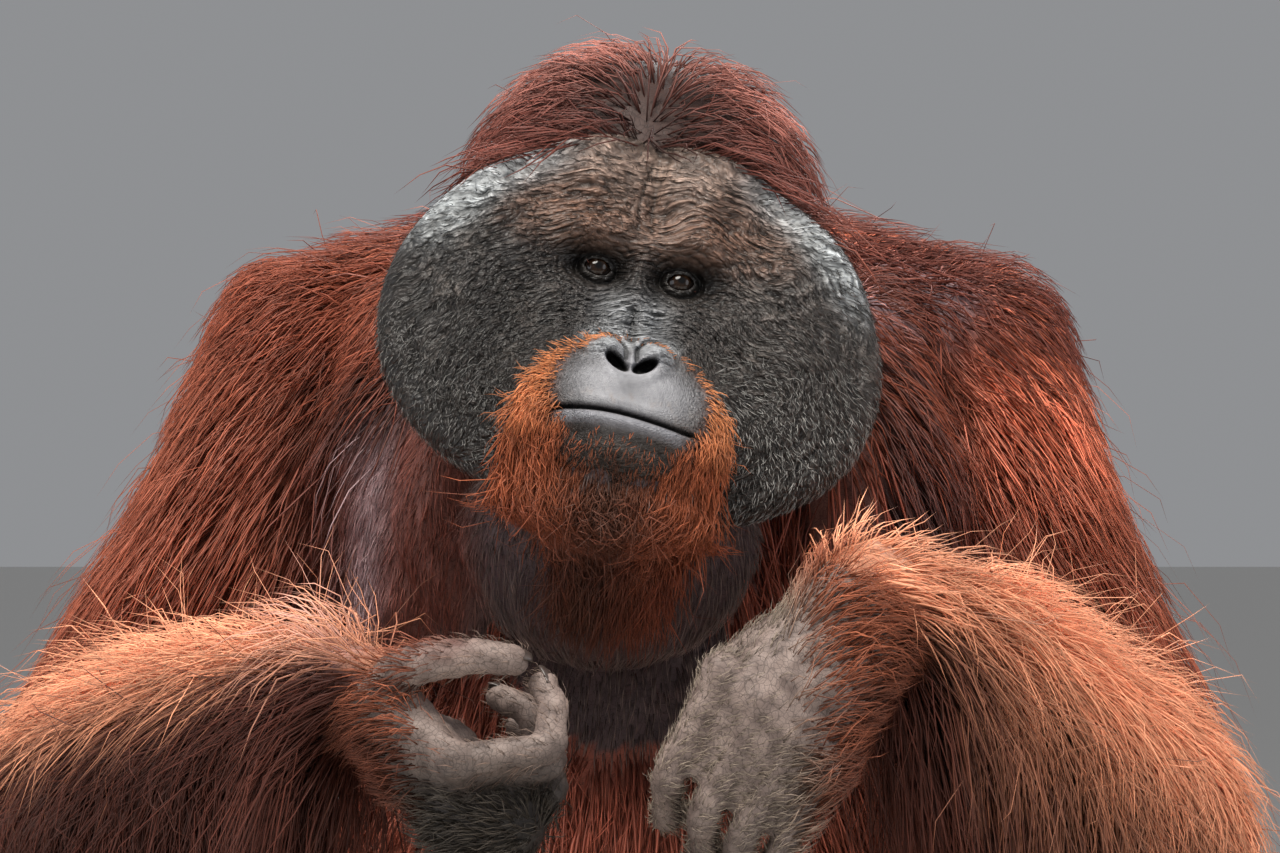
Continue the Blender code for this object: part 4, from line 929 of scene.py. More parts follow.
def lids_piece(side):
    """Both lids of one eye as a closed ring round the eyeball. Round the almond-shaped opening each profile goes
    out over the lid until it sinks under the skin of the face, then back along the eyeball to the margin."""
    around = np.linspace(0, 2 * math.pi, LID_TURNS, endpoint=False)
    cos, sin = np.cos(around), np.sin(around)
    half_wide, half_high = 0.0088, np.where(sin > 0, 0.0050, 0.0056)
    inner_x = half_wide * np.sign(cos) * np.abs(cos) ** 0.9
    inner_z = half_high * np.sign(sin) * np.abs(sin) ** 1.25 + 0.0006 * side * cos
    outer_x, outer_z = 0.0190 * cos, np.where(sin > 0, 0.0140, 0.0160) * sin

    def on_ball(x, z, thick):
        return np.sqrt(np.maximum((EYE_RADIUS + thick) ** 2 - x * x - z * z, 1e-7)) + EYE_FORWARD

    rows = []
    for out in np.linspace(0, 1, LID_ROWS):
        x, z = mix(inner_x, outer_x, out), mix(inner_z, outer_z, out)
        lid = on_ball(x, z, 0.0014 * ease(-0.05, 0.08, out) + 0.0004)
        skin = face_relief(side * EYE_SPACING / 2 + x, EYE_HEIGHT + z) + mix(0.0003, -0.0008, ease(0.80, 1.0, out))
        fold = 0.0012 * bell(out - 0.42, 0.07) + 0.0008 * bell(out - 0.70, 0.07)
        wave = 0.0003 * np.sin(around * 9 + out * 11)
        rows.append(np.stack([x, mix(lid, skin, ease(0.30, 0.66, out)) - fold + wave, z], -1))
    for out in (0.95, 0.70, 0.45, 0.25, 0.10, 0.03):
        x, z = mix(inner_x, outer_x, out * 0.62), mix(inner_z, outer_z, out * 0.62)
        rows.append(np.stack([x, on_ball(x, z, 0.0002) - 0.006 * ease(0.5, 1.0, out), z], -1))
    points, rings = np.vstack(rows), len(rows)
    local = np.stack([side * EYE_SPACING / 2 + points[:, 0], -points[:, 1], EYE_HEIGHT + points[:, 2]], -1)
    quads = grid_faces(rings + 1, LID_TURNS) % (rings * LID_TURNS)
    tint = face_colours(local[:, 0], local[:, 2])
    # The wet margin is near black: the first two rows and the last two
    row = np.repeat(np.arange(rings), LID_TURNS)
    margin = (row < 2) | (row > rings - 3)
    tint = mix(tint, linear("#181311"), (margin * 0.8)[:, None])
    # Pale arcs of folded skin under the eye
    front = LID_ROWS * LID_TURNS
    out = np.repeat(np.linspace(0, 1, LID_ROWS), LID_TURNS)
    pale = np.tile(ease(0.1, -0.5, sin), LID_ROWS) * (bell(out - 0.13, 0.05) + 0.7 * bell(out - 0.56, 0.07))
    tint[:front] = mix(tint[:front], linear("#5E5853"), (pale * 0.38)[:, None])
    lids = new_object("lids_" + TAG[side], on_head(local), [quads[:, ::-1]], tint)
    set_creases(lids.data, local[:, 0], local[:, 2])
    return lids


def eyeball_piece(side):
    """An eyeball with a slight bulge of the cornea, its pole looking forward. The tint goes by the angle off the
    pole: pupil, dark brown iris with a darker edge, then the brown white of the eye."""
    points, faces = ball((0, 0, 0), (1, 1, 1), None, 40, 64)
    gaze = unit(np.array([0.02, -1.0, 0.10]))
    reach = np.degrees(np.arccos(np.clip(points[:, 2], -1, 1)))
    bulge = 1 + 0.045 * ease(34, 20, reach)
    across = np.cross(gaze, [0, 0, 1.0])
    axes = np.stack([unit(across), unit(np.cross(across, gaze)), gaze], 1)
    local = (points * bulge[:, None] * EYE_RADIUS * BALL_SHARE) @ axes.T
    place = on_head([side * EYE_SPACING / 2, -EYE_FORWARD, EYE_HEIGHT] + local)
    angle = np.arctan2(points[:, 1], points[:, 0])
    rays = 0.5 + 0.5 * np.sin(angle * 23 + 2 * np.sin(angle * 7))
    tint = blend("#160B06", "#33200F", rays * 0.7)
    for colour, low, high in (("#050303", 14.5, 12.0), ("#0C0605", 28, 33), ("#1A1310", 36, 42)):
        tint = mix(tint, linear(colour), ease(low, high, reach)[:, None])
    # The axes are left-handed, so the faces turn round to look outwards
    return new_object("eyeball_" + TAG[side], place, [f[:, ::-1] for f in faces], tint)


def digit_stations(joints, radius, plain, tip=0.80):
    """Rows along a digit: a knob at each joint unless plain, thinner between them, tapered to the tip."""
    points = np.array(joints, float)
    count = len(points) - 1
    rows = []
    for i, point in enumerate(points):
        taper = 1 - (1 - tip) * i / count
        rows.append([*point, radius * taper, radius * taper * 1.06])
        if i < count:
            middle = (point + points[i + 1]) / 2
            thin = 0.97 if plain else 0.90
            rows.append([*middle, radius * taper * thin, radius * taper * (0.99 if plain else 0.97)])
    return np.array(rows)


def hand_shapes(side):
    """Palm, fingers with a ball in each knuckle, heel of the thumb, webs between the fingers and the palm's pad."""
    wrist, knuckles, breadth = WRIST[side], KNUCKLES[side], HAND_BREADTH[side]
    reach = unit(wrist - ELBOW[side])
    joints = {finger: np.array(places) / 1000 for finger, places in FINGERS[side].items()}
    shapes = [
        rod(
            breadth,
            (wrist - reach * 0.04, 0.029, 0.025), (wrist + reach * 0.010, 0.033, 0.025),
            (mix(wrist, knuckles, 0.55), 0.042, 0.023), (knuckles, 0.045, 0.016),
            sides=40, per_span=10,
        )
    ]
    for finger, places in joints.items():
        thick, tip = FINGER_RADIUS.get(finger, DIGIT_RADIUS), 0.66 if finger == "thumb" else 0.80
        shapes.append(tube(digit_stations(places, thick, finger == "thumb", tip), breadth, 28, 6))
        shapes.append(ball(places[0], [0.0138] * 3, None, 14, 20))
    shapes.append(ball(mix(wrist, joints["thumb"][0], 0.6), (0.024, 0.022, 0.026), None, 16, 24))
    rows = [joints[finger] for finger in ("index", "middle", "ring", "little")]
    for one, other in zip(rows, rows[1:]):
        start, end = (one[0] + other[0]) / 2, (one[1] + other[1]) / 2
        web = (start, 0.012, 0.012), (mix(start, end, 0.5), 0.0105, 0.0095), (mix(start, end, 0.8), 0.008, 0.006)
        shapes.append(rod(breadth, *web, sides=20, per_span=5))
    pad = mix(wrist, mix(rows[1][0], rows[2][0], 0.5), 0.62)
    shapes.append(ball(pad + (rows[1][1] - rows[1][0]) * 0.10 - [0, 0, 0.006], (0.034, 0.026, 0.030), None, 18, 28))
    if side == RIGHT:
        shapes.append(ball((-0.103, -0.318, 0.400), (0.044, 0.034, 0.030), spin("Y", 0.25), 20, 30))
    return shapes


def toe_joints(side):
    """Joints of each toe, the first one set far back on the foot's inner side."""
    toes = []
    for number in range(2, 6):
        x = 0.196 + (number - 3.5) * TOE_SPACING
        short = 0.006 * abs(number - 3)
        bend, last, tip = -0.432 + short, -0.457 + short, -0.459 + short
        toes.append([(x, -0.390, 0.026), (x, bend, 0.034), (x, last, 0.023), (x, tip, 0.011)])
    toes.append([(0.160, -0.315, 0.024), (0.137, -0.330, 0.020), (0.133, -0.352, 0.014)])
    return [[side_of(joint, side) for joint in toe] for toe in toes]


def foot_shapes(side):
    """Sole and instep, heel up to the ankle, four toes and the first toe on the inner side."""
    _, knee, ankle = leg_joints(side)
    sole = (
        ((0.176, -0.242, 0.036), 0.028, 0.028), ((0.183, -0.290, 0.037), 0.038, 0.037),
        ((0.190, -0.345, 0.030), 0.042, 0.031), ((0.196, -0.392, 0.024), 0.045, 0.024),
    )
    instep = side_of((0.184, -0.300, 0.040), side)
    shapes = [
        rod((1, 0, 0), *[(side_of(place, side), wide, deep) for place, wide, deep in sole], sides=36),
        rod((1, 0, 0), (ankle + (knee - ankle) * 0.08, 0.030, 0.034), (instep, 0.036, 0.036), per_span=6),
    ]
    *toes, first = toe_joints(side)
    for toe in toes:
        shapes.append(tube(digit_stations(toe, DIGIT_RADIUS, True), (1, 0, 0), 24, 6))
    shapes.append(tube(digit_stations(first, FIRST_TOE_RADIUS, True), (0, 1, 0), 24, 6))
    return shapes


def body_shapes():
    """The trunk, neck, throat, head and limbs as overlapping closed forms at the radii of the skin."""
    x_axis, y_axis, z_axis = np.eye(3)
    shapes = [
        tube([[0, y, z, w, d] for z, y, w, d in TORSO], x_axis, 48, 6),
        rod(
            x_axis, ((0, 0.120, 0.700), 0.120, 0.110), ((0, 0.020, 0.725), 0.105, 0.105),
            ((0, -0.090, 0.735), 0.088, 0.092),
        ),
        ball((-0.020, -0.145, 0.575), (0.097, 0.083, 0.082)),
        rod(
            x_axis, ((-0.125, -0.100, 0.660), 0.022, 0.024), ((-0.138, -0.120, 0.590), 0.025, 0.027),
            ((-0.120, -0.115, 0.520), 0.020, 0.022), sides=24,
        ),
        ball(on_head([0, 0.082, 0.098]), (0.106, 0.090, 0.106), TURN),
        ball(on_head([0, 0.050, -0.040]), (0.076, 0.072, 0.070), TURN),
        ball(on_head([0.002, -0.034, -0.104]), (0.060, 0.036, 0.038), TURN),
    ]
    for side in SIDES:
        shoulder, elbow, wrist = side_of(SHOULDER, side), ELBOW[side], WRIST[side]
        hip, knee, ankle = leg_joints(side)
        shapes += [
            rod(
                x_axis, (shoulder + [0, 0, 0.010], 0.072, 0.080), (mix(shoulder, elbow, 0.35), 0.060, 0.074),
                (mix(shoulder, elbow, 0.70), 0.054, 0.064), (elbow, 0.050, 0.056),
            ),
            rod(y_axis, (shoulder + [-side * 0.100, 0.010, 0.025], 0.082, 0.072), (shoulder, 0.076, 0.072)),
            rod(
                y_axis, ((side * 0.120, 0.060, 0.590), 0.070, 0.080), ((side * 0.205, 0.055, 0.570), 0.062, 0.070),
                ((side * 0.265, 0.045, 0.545), 0.045, 0.055),
            ),
            rod(
                x_axis, ((side * 0.140, -0.010, 0.710), 0.042, 0.045), ((side * 0.156, -0.030, 0.620), 0.048, 0.050),
                ((side * 0.150, -0.030, 0.530), 0.046, 0.048),
            ),
            rod(
                z_axis, (elbow, 0.050, 0.052), (mix(elbow, wrist, 0.30), 0.056, 0.058),
                (mix(elbow, wrist, 0.65), 0.044, 0.046), (wrist, 0.027, 0.029),
            ),
            rod(x_axis, (hip, 0.092, 0.085), (mix(hip, knee, 0.5), 0.076, 0.072), (knee, 0.055, 0.052)),
            rod(x_axis, (knee, 0.048, 0.046), (mix(knee, ankle, 0.4), 0.046, 0.046), (ankle, 0.030, 0.034)),
        ]
    return shapes


def remeshed(name, shapes, voxel):
    """One closed skin round overlapping closed forms."""
    obj = new_object(name, *join(shapes))
    remesh = obj.modifiers.new("fuse", "REMESH")
    remesh.mode = "VOXEL"
    remesh.voxel_size = voxel
    soften = obj.modifiers.new("soften", "SMOOTH")
    soften.factor = 0.5
    soften.iterations = 4
    return settled(obj)


def skin_piece():
    """The whole skin but the face: body, hands and feet are each fused at their own fineness and then joined.
    What would sink below the floor is pressed flat on it."""
    skin = remeshed("skin", body_shapes(), SKIN_VOXEL)
    group = bpy.data.collections.new("ends")
    ends = []
    for side in SIDES:
        ends.append(remeshed("hand", hand_shapes(side), HAND_VOXEL))
        ends.append(remeshed("foot", foot_shapes(side), FOOT_VOXEL))
    for obj in ends:
        group.objects.link(obj)
    joint = skin.modifiers.new("join", "BOOLEAN")
    joint.operation, joint.operand_type, joint.collection, joint.solver = "UNION", "COLLECTION", group, "MANIFOLD"
    settled(skin)
    for obj in ends:
        discard(obj)
    bpy.data.collections.remove(group)
    mesh = skin.data
    points = vertices_of(mesh)
    points[:, 2] = np.maximum(points[:, 2], 0.0)
    place_vertices(mesh, points)
    relief_skin(skin)
    mesh.shade_smooth()
    set_tint(mesh, skin_colours(vertices_of(mesh), normals_of(mesh)))
    return skin


def relief_skin(skin):
    """Folds and veins on the bare skin: each vertex moves along its normal by noise, most on hands and throat."""
    mesh = skin.data
    points, normals = vertices_of(mesh), normals_of(mesh)
    kind, _ = nearest_part(points)
    ends = np.isin(kind, ENDS)
    strength = np.where(np.isin(kind, THROAT), 0.0024, np.where(ends, 0.0009, 0.0018))
    size = np.where(ends[:, None], points * 3.0, points)
    moved = points + normals * (strength * waves(size, 0.030, 41, 2))[:, None]
    low = points[:, 2] < 0.004
    moved[low] = points[low]
    place_vertices(mesh, moved)


def ear_piece(side):
    """A small ear: a rounded cup with a rolled rim, its outer face hollowed."""
    middle = on_head([side * 0.096, 0.060, 0.042])
    turn = TURN @ spin("Z", -side * math.radians(18))
    points, faces = ball((0, 0, 0), (1, 1, 1), spin("Y", side * math.pi / 2), 30, 40)
    out = points[:, 0] * side
    reach = np.hypot(points[:, 1], points[:, 2])
    hollow = 0.85 * ease(0.80, 0.40, reach) * ease(0.0, 0.3, out)
    helix = 0.10 * np.sin(points[:, 2] * 9) * ease(0.7, 0.3, reach) * (out > 0)
    points[:, 0] -= side * (hollow + helix)
    local = points * EAR_RADII
    # Painted shade: the hollow of the cup is painted darker
    tint = np.broadcast_to(linear("#4A3A38"), (len(points), 3)) * (1 - 0.4 * hollow[:, None])
    return new_object("ear_cup_" + TAG[side], middle + local @ turn.T, faces, tint)


def nail_shape(base, tip, up, width, length):
    """One nail: a curved plate over the back of a digit's tip, bent across as a barrel is, with a rounded edge."""
    along = unit(tip - base)
    up = unit(up - along * (up @ along))
    across = np.cross(along, up)
    rows, columns = 9, 11
    count = rows * columns
    u, v = np.meshgrid(np.linspace(-1, 1, columns), np.linspace(0, 1, rows))
    edge = np.sqrt(np.clip(1 - np.clip((v - 0.55) / 0.45, 0, 1) ** 2 * 0.55, 0, 1))
    angle = u * 1.05 * edge
    top = (
        tip[None, None]
        + along * ((v - 0.62) * length)[..., None]
        + across * (np.sin(angle) * width)[..., None]
        + up * (np.cos(angle) * width * 0.92 - width * 0.02 - 0.35 * width * ease(0.6, 1.15, v))[..., None]
    )
    points = np.vstack([top.reshape(-1, 3), (top - up * 0.0014).reshape(-1, 3)])
    quads = grid_faces(rows, columns, 0, False)
    far_side, near_end = np.arange(2 * columns - 1, count, columns), np.arange(count - 2 * columns, 0, -columns)
    rim = np.concatenate([np.arange(columns), far_side, np.arange(count - 2, count - columns - 1, -1), near_end])
    following = np.roll(rim, -1)
    walls = np.stack([rim, following, following + count, rim + count], -1)
    return points, [np.vstack([quads, (quads + count)[:, ::-1], walls[:, ::-1]])]


def nails_piece():
    """The nails of all fingers and toes."""
    shapes = []
    for side in SIDES:
        for finger, joints in FINGERS[side].items():
            rows = np.array(joints) / 1000
            radius = FINGER_RADIUS.get(finger, DIGIT_RADIUS) * NAIL_SHARE
            before, base, tip = rows[-3], rows[-2], rows[-1]
            bend = unit(base - before) - unit(tip - base)
            if finger == "thumb":
                bend, radius = np.array([0, -0.25, 1.0]), radius * 0.78
            shapes.append(nail_shape(base, tip + unit(tip - base) * radius * 0.35, bend, radius * 0.98, radius * 1.7))
        for number, joints in enumerate(toe_joints(side)):
            rows = np.array(joints)
            radius = (FIRST_TOE_RADIUS if number == 4 else DIGIT_RADIUS) * NAIL_SHARE
            up = np.array([0, -0.7, 0.7]) if number < 4 else np.array([0, 0, 1.0])
            shapes.append(nail_shape(rows[-2], rows[-1], up, radius * 1.02, radius * 1.7))
    points, faces = join(shapes)
    points[:, 2] = np.maximum(points[:, 2], 0.0008)
    return new_object("nails", points, faces)


# Coat: every tuft is a thin three-sided spike of three or four stations, laid over the skin by its part's lie


def scatter(obj, count, weight, rng):
    """Places spread evenly over an object's surface, by area and the weight at each triangle's middle, with the
    surface's smooth normal there."""
    mesh = obj.data
    points, normals, faces = vertices_of(mesh), normals_of(mesh), triangles_of(mesh)
    a, b, c = points[faces[:, 0]], points[faces[:, 1]], points[faces[:, 2]]
    middle, normal = (a + b + c) / 3, unit(np.cross(b - a, c - a))
    share = np.linalg.norm(np.cross(b - a, c - a), axis=1) * np.clip(weight(middle, normal), 0, None)
    share[inside_face(middle)] = 0
    steps = np.cumsum(share)
    picks = (np.arange(count) + rng.random(count)) / count * steps[-1]
    face = np.minimum(np.searchsorted(steps, picks), len(share) - 1)
    u, v = rng.random(count), rng.random(count)
    flip = u + v > 1
    u, v = np.where(flip, 1 - u, u), np.where(flip, 1 - v, v)
    shares = np.stack([1 - u - v, u, v])[..., None]
    corners = faces[face].T
    spot, out = [sum(rows[corner] * part for corner, part in zip(corners, shares)) for rows in (points, normals)]
    return spot, unit(out)


class Coat:
    """How one region's hair stands: sizes in metres, shares without unit."""

    def __init__(self, **changes):
        self.length, self.spread, self.width = 0.10, 0.30, 0.0013
        self.rise = 0.45  # how steeply it leaves the skin, as a share of the lie
        self.low, self.high = 0.004, 0.030  # heights that its tip keeps between
        self.hang = 0.25  # pull of its own weight
        self.curl = 0.25  # how much it wanders off the lie
        self.clump, self.pull = 0.016, 0.55  # size of a lock, and how far its tips draw together
        self.stray = 0.04  # share that stands off the rest
        self.root, self.tip = 0.55, 1.25  # brightness at the root and at the tip
        self.spans = 3  # straight runs that a hair is made of
        self.fit = None  # called with the roots to make lengths and heights follow the place
        for name, value in changes.items():
            if not hasattr(self, name):
                raise ValueError("a coat has no " + name)
            setattr(self, name, value)


# What a stray hair has for each one of the others
STRAY_RISE, STRAY_CURL, STRAY_HIGH, STRAY_PULL, STRAY_WIDTH = 2.4, 1.8, 1.5, 0.1, 0.6
KEPT_WAY, LIE_WAY, WANDER_WAY = 0.55, 0.45, 0.45  # shares of a hair's next way
STEPS_ALONG = {2: np.array([0.0, 0.52, 1.0]), 3: np.array([0.0, 0.34, 0.68, 1.0])}


def lay_hair(roots, normals, coat, way, target, rng):
    """Stations of every hair at once. Each step goes along the last way, then its height over the skin is kept
    between a rising least and a most, and the next way is a blend of this one with the lie there, the pull
    down, and a wander that hairs near each other share. Last, the hairs of a lock draw towards its middle."""
    count = len(roots)
    length = coat.length * (1 + coat.spread * rng.uniform(-1, 1, count))
    stray = rng.random(count) < coat.stray
    rise = coat.rise * rng.uniform(0.6, 1.4, count) * np.where(stray, STRAY_RISE, 1)
    wander = wave_vectors(roots, 0.05, 61, 2)
    wander = (wander * 0.7 + rng.normal(0, 0.55, (count, 3))) * coat.curl * np.where(stray, STRAY_CURL, 1)[:, None]
    lie = way(roots)
    lie = unit(lie - normals * dot(lie, normals))
    going = unit(lie + normals * rise[:, None] + wander * 0.6)
    here = roots - normals * ROOT_DEPTH
    weigh = np.stack([np.zeros(count), np.zeros(count), -np.broadcast_to(coat.hang, count)], -1)
    stations, outs, depth = [here], [normals], rng.random(count)
    shares = STEPS_ALONG[coat.spans]
    for before, share in zip(shares, shares[1:]):
        spot = here + going * (length * (share - before))[:, None]
        near, out = nearest(spot, target)
        height = ((spot - near) * out).sum(1)
        least = coat.low * share + (coat.high * 0.75 - coat.low) * depth * share
        most = np.where(stray, coat.high * STRAY_HIGH, coat.high * (0.35 + 0.65 * share))
        spot = spot + out * (np.clip(height, least, most) - height)[:, None]
        spot[:, 2] = np.maximum(spot[:, 2], LOWEST_STATION)
        moved = unit(spot - here)
        lie = way(spot)
        lie = unit(lie - out * dot(lie, out))
        turn = rng.normal(0, 0.30, (count, 3)) * coat.curl
        going = unit(moved * KEPT_WAY + lie * LIE_WAY + wander * WANDER_WAY + turn + weigh)
        here = spot
        stations.append(here)
        outs.append(out)
    stations, outs = np.array(stations), np.array(outs)
    cells = np.floor((roots + wave_vectors(roots, 0.04, 71, 1) * coat.clump * 0.4) / coat.clump).astype(np.int64)
    key = (cells[:, 0] * 73856093) ^ (cells[:, 1] * 19349663) ^ (cells[:, 2] * 83492791)
    _, lock = np.unique(key, return_inverse=True)
    lock = lock.reshape(-1)
    sizes = np.maximum(np.bincount(lock), 1)
    drawn = coat.pull * rng.uniform(0.4, 1.0, len(sizes))[lock] * np.where(stray, STRAY_PULL, 1)
    for i, share in enumerate(shares[1:], 1):
        middle = np.stack([np.bincount(lock, stations[i][:, k]) / sizes for k in range(3)], -1)[lock]
        stations[i] = mix(stations[i], middle, (drawn * share**1.3)[:, None])
    return stations, outs, lock, stray


def hair_mesh(name, stations, outs, width, tints, uv_root):
    """Three-sided spikes: a ring of three points at each station but the last, which is the tip. The ring's flat
    side faces the skin. Each hair's patch of the map lies at its root's place."""
    rings, count = len(stations) - 1, stations.shape[1]
    tangents = unit(np.gradient(stations, axis=0))
    across = unit(np.cross(outs, tangents))
    up = np.cross(tangents, across)
    taper = np.array([0.85, 1.0, 0.72]) if rings == 3 else np.array([1.0, 0.80])
    corners = []
    for i, here in enumerate(stations[:rings]):
        half = (taper[i] * width / 2)[:, None]
        ring = [here - across[i] * half, here + across[i] * half, here + up[i] * half * 1.1]
        corners.append(np.stack(ring, 1))
    points = np.concatenate([*corners, stations[rings][:, None]], 1)
    points[..., 2] = np.maximum(points[..., 2], LOWEST_HAIR)
    tip = 3 * rings
    base = [(2, 1, 0)] + [(tip - 3 + a, tip - 3 + b, tip) for a, b in ((0, 1), (1, 2), (2, 0))]
    for r in range(0, tip - 3, 3):
        for a, b in ((0, 1), (1, 2), (2, 0)):
            base += [(r + a, r + b, r + 3 + b), (r + a, r + 3 + b, r + 3 + a)]
    faces = (np.array(base)[None] + (np.arange(count) * (tip + 1))[:, None, None]).reshape(-1, 3)
    half = HAIR_PATCH / 2
    patch = [(HAIR_PATCH * r / rings, half * c) for r in range(rings) for c in range(3)] + [(HAIR_PATCH, half)]
    uv = (uv_root[:, None] + np.array(patch)[None] - half).reshape(-1, 2)
    station = np.append(np.repeat(np.arange(rings), 3), rings)
    tint = tints[station].transpose(1, 0, 2).reshape(-1, 3)
    return new_object(name, points.reshape(-1, 3), [faces], tint, uv)


def unwrap(points):
    """A place in the unit square for each point of the skin: its angle round its nearest part's axis and its share
    along that axis."""
    gaps, shares = part_distances(points)
    part = gaps.argmin(0)
    flat = np.zeros((len(points), 2))
    for i, (_, a, b, _, _) in enumerate(AXES):
        mine = part == i
        along = unit(b - a)
        first = unit(np.cross(along, [0.3, 0.9, 0.2]))
        second = np.cross(along, first)
        off = points[mine] - a
        flat[mine, 0] = np.arctan2(off @ second, off @ first) / (2 * math.pi) + 0.5
        flat[mine, 1] = shares[i, mine]
    return 0.01 + 0.98 * flat


def grow(name, on, count, weight, coat, way, target, colours, seed):
    """One piece of coat: hairs rooted on an object, their colour from the place, the lock and the hair."""
    rng = np.random.default_rng(seed)
    roots, normals = scatter(on, count, weight, rng)
    if coat.fit:
        coat.fit(coat, roots, normals)
    stations, outs, lock, stray = lay_hair(roots, normals, coat, way, target, rng)
    base = colours(roots, normals)
    by_lock = 1 + 0.20 * rng.uniform(-1, 1, lock.max() + 1)[lock]
    by_hair = (1 + 0.32 * rng.uniform(-1, 1, count)) * by_lock
    light = mix(coat.root, coat.tip, STEPS_ALONG[coat.spans][:, None]) * by_hair[None]
    tints = base[None] * light[..., None]
    widths = coat.width * rng.uniform(0.7, 1.3, count) * np.where(stray, STRAY_WIDTH, 1)
    return hair_mesh(name, stations, outs, widths, tints, unwrap(roots))


def weight_of(*names, also=None):
    """Where a piece of coat grows: on the named parts, thinner on the bare patches, and by a further share."""
    wanted = [i for i, name in enumerate(NAMES) if name in names]

    def weight(points, normals):
        gaps, _ = part_distances(points)
        grows = np.isin(gaps.argmin(0), wanted) * (1 - 0.93 * bare_places(points)) * (1 - 0.92 * neck_fold(points))
        return grows if also is None else grows * also(points, normals)

    return weight


# Materials


def add(tree, kind, settings=None, links=None):
    """Adds a node with its settings and incoming links, by name or index of the socket."""
    node = tree.nodes.new(kind)
    for name, value in (settings or {}).items():
        if isinstance(name, str) and hasattr(node, name):
            setattr(node, name, value)
        else:
            node.inputs[name].default_value = value
    for name, source in (links or {}).items():
        tree.links.new(source, node.inputs[name])
    return node


def start_material(name):
    material = bpy.data.materials.new(name)
    material.use_nodes = True
    tree = material.node_tree
    return material, tree, tree.nodes["Principled BSDF"]


def set_shader(shader, **values):
    """Sets constants on the shader's own sockets, by short names."""
    names = {"ior": "IOR", "specular": "Specular IOR Level", "coat": "Coat Weight", "coat_rough": "Coat Roughness"}
    for name, value in values.items():
        shader.inputs[names.get(name, name.capitalize())].default_value = value


def link_shader(tree, shader, colour, gloss, normal):
    """Leads colour, gloss and relief into the skin's shader."""
    for name, source in (("Base Color", colour), ("Roughness", gloss), ("Normal", normal)):
        tree.links.new(source, shader.inputs[name])


def face_hide():
    """Old, bare hide of a flanged male: pebbles drawn out along the creases, slightly greasy, so the light catches
    on their tops. Where the skin is creased their tops are also painted lighter and the gaps darker: painted
    highlight and shade."""
    material, tree, shader = start_material("weathered_face_hide")
    tint = add(tree, "ShaderNodeAttribute", {"attribute_name": "Tint"})
    lie = add(tree, "ShaderNodeAttribute", {"attribute_name": "Lie"})
    creased = add(tree, "ShaderNodeAttribute", {"attribute_name": "Creased"}).outputs["Fac"]
    place = add(tree, "ShaderNodeTexCoord").outputs["Object"]
    warp = add(tree, "ShaderNodeTexNoise", {"Scale": 55.0, "Detail": 3.0}, {"Vector": place})
    sway = add(tree, "ShaderNodeVectorMath", {"operation": "SCALE", "Scale": 2.4}, {0: warp.outputs["Color"]})
    shade, below = tint.outputs["Color"], {}
    # Each pattern is 1 / size to a unit of the lie, which at the pads is about 0.11 m: pebbles of 2.5 by 7 mm, with
    # finer ones of 1.2 by 3 mm over them
    for size, share in (((44.0, 16.0, 16.0), 1.0), ((92.0, 38.0, 38.0), 0.6)):
        drawn = add(tree, "ShaderNodeVectorMath", {"operation": "MULTIPLY", 1: size}, {0: lie.outputs["Vector"]})
        bent = add(tree, "ShaderNodeVectorMath", {"operation": "ADD"}, {0: drawn.outputs[0], 1: sway.outputs[0]})
        pebbles = {"feature": "SMOOTH_F1", "Scale": 1.0, "Smoothness": 0.35}
        cells = add(tree, "ShaderNodeTexVoronoi", pebbles, {"Vector": bent.outputs[0]})
        domes = {"From Min": 0.10, "From Max": 0.75, "To Min": 1.0, "To Max": 0.0}
        top = add(tree, "ShaderNodeMapRange", domes, {"Value": cells.outputs["Distance"]}).outputs[0]
        lift = add(tree, "ShaderNodeMath", {"operation": "MULTIPLY"}, {0: top, 1: creased}).outputs[0]
        raised = add(tree, "ShaderNodeBump", {"Strength": share, "Distance": 0.0030}, {"Height": lift, **below})
        below = {"Normal": raised.outputs[0]}
        # Painted highlight and shade: where the skin is creased, pebble tops are painted lighter and the gaps between
        # them darker
        light = {"To Min": 1 - 0.50 * share, "To Max": 1 + 0.75 * share}
        bright = add(tree, "ShaderNodeMapRange", light, {"Value": top}).outputs[0]
        wear_and_painted_light = add(tree, "ShaderNodeMix", {"A": 1.0}, {"Factor": creased, "B": bright}).outputs[0]
        shade = add(tree, "ShaderNodeVectorMath", {"operation": "SCALE"}, {0: shade, "Scale": wear_and_painted_light}).outputs[0]
    # Pores of about 1 mm, coarser than real ones so that they show
    grain = {"Scale": 1100.0, "Detail": 3.0, "Roughness": 0.7}
    pores = add(tree, "ShaderNodeTexNoise", grain, {"Vector": place}).outputs["Fac"]
    normal = add(tree, "ShaderNodeBump", {"Strength": 0.45, "Distance": 0.0009}, {"Height": pores, **below})
    gloss = add(tree, "ShaderNodeMapRange", {"To Min": 0.22, "To Max": 0.48}, {"Value": pores})
    link_shader(tree, shader, shade, gloss.outputs[0], normal.outputs[0])
    set_shader(shader, ior=1.45, specular=0.6)
    return material


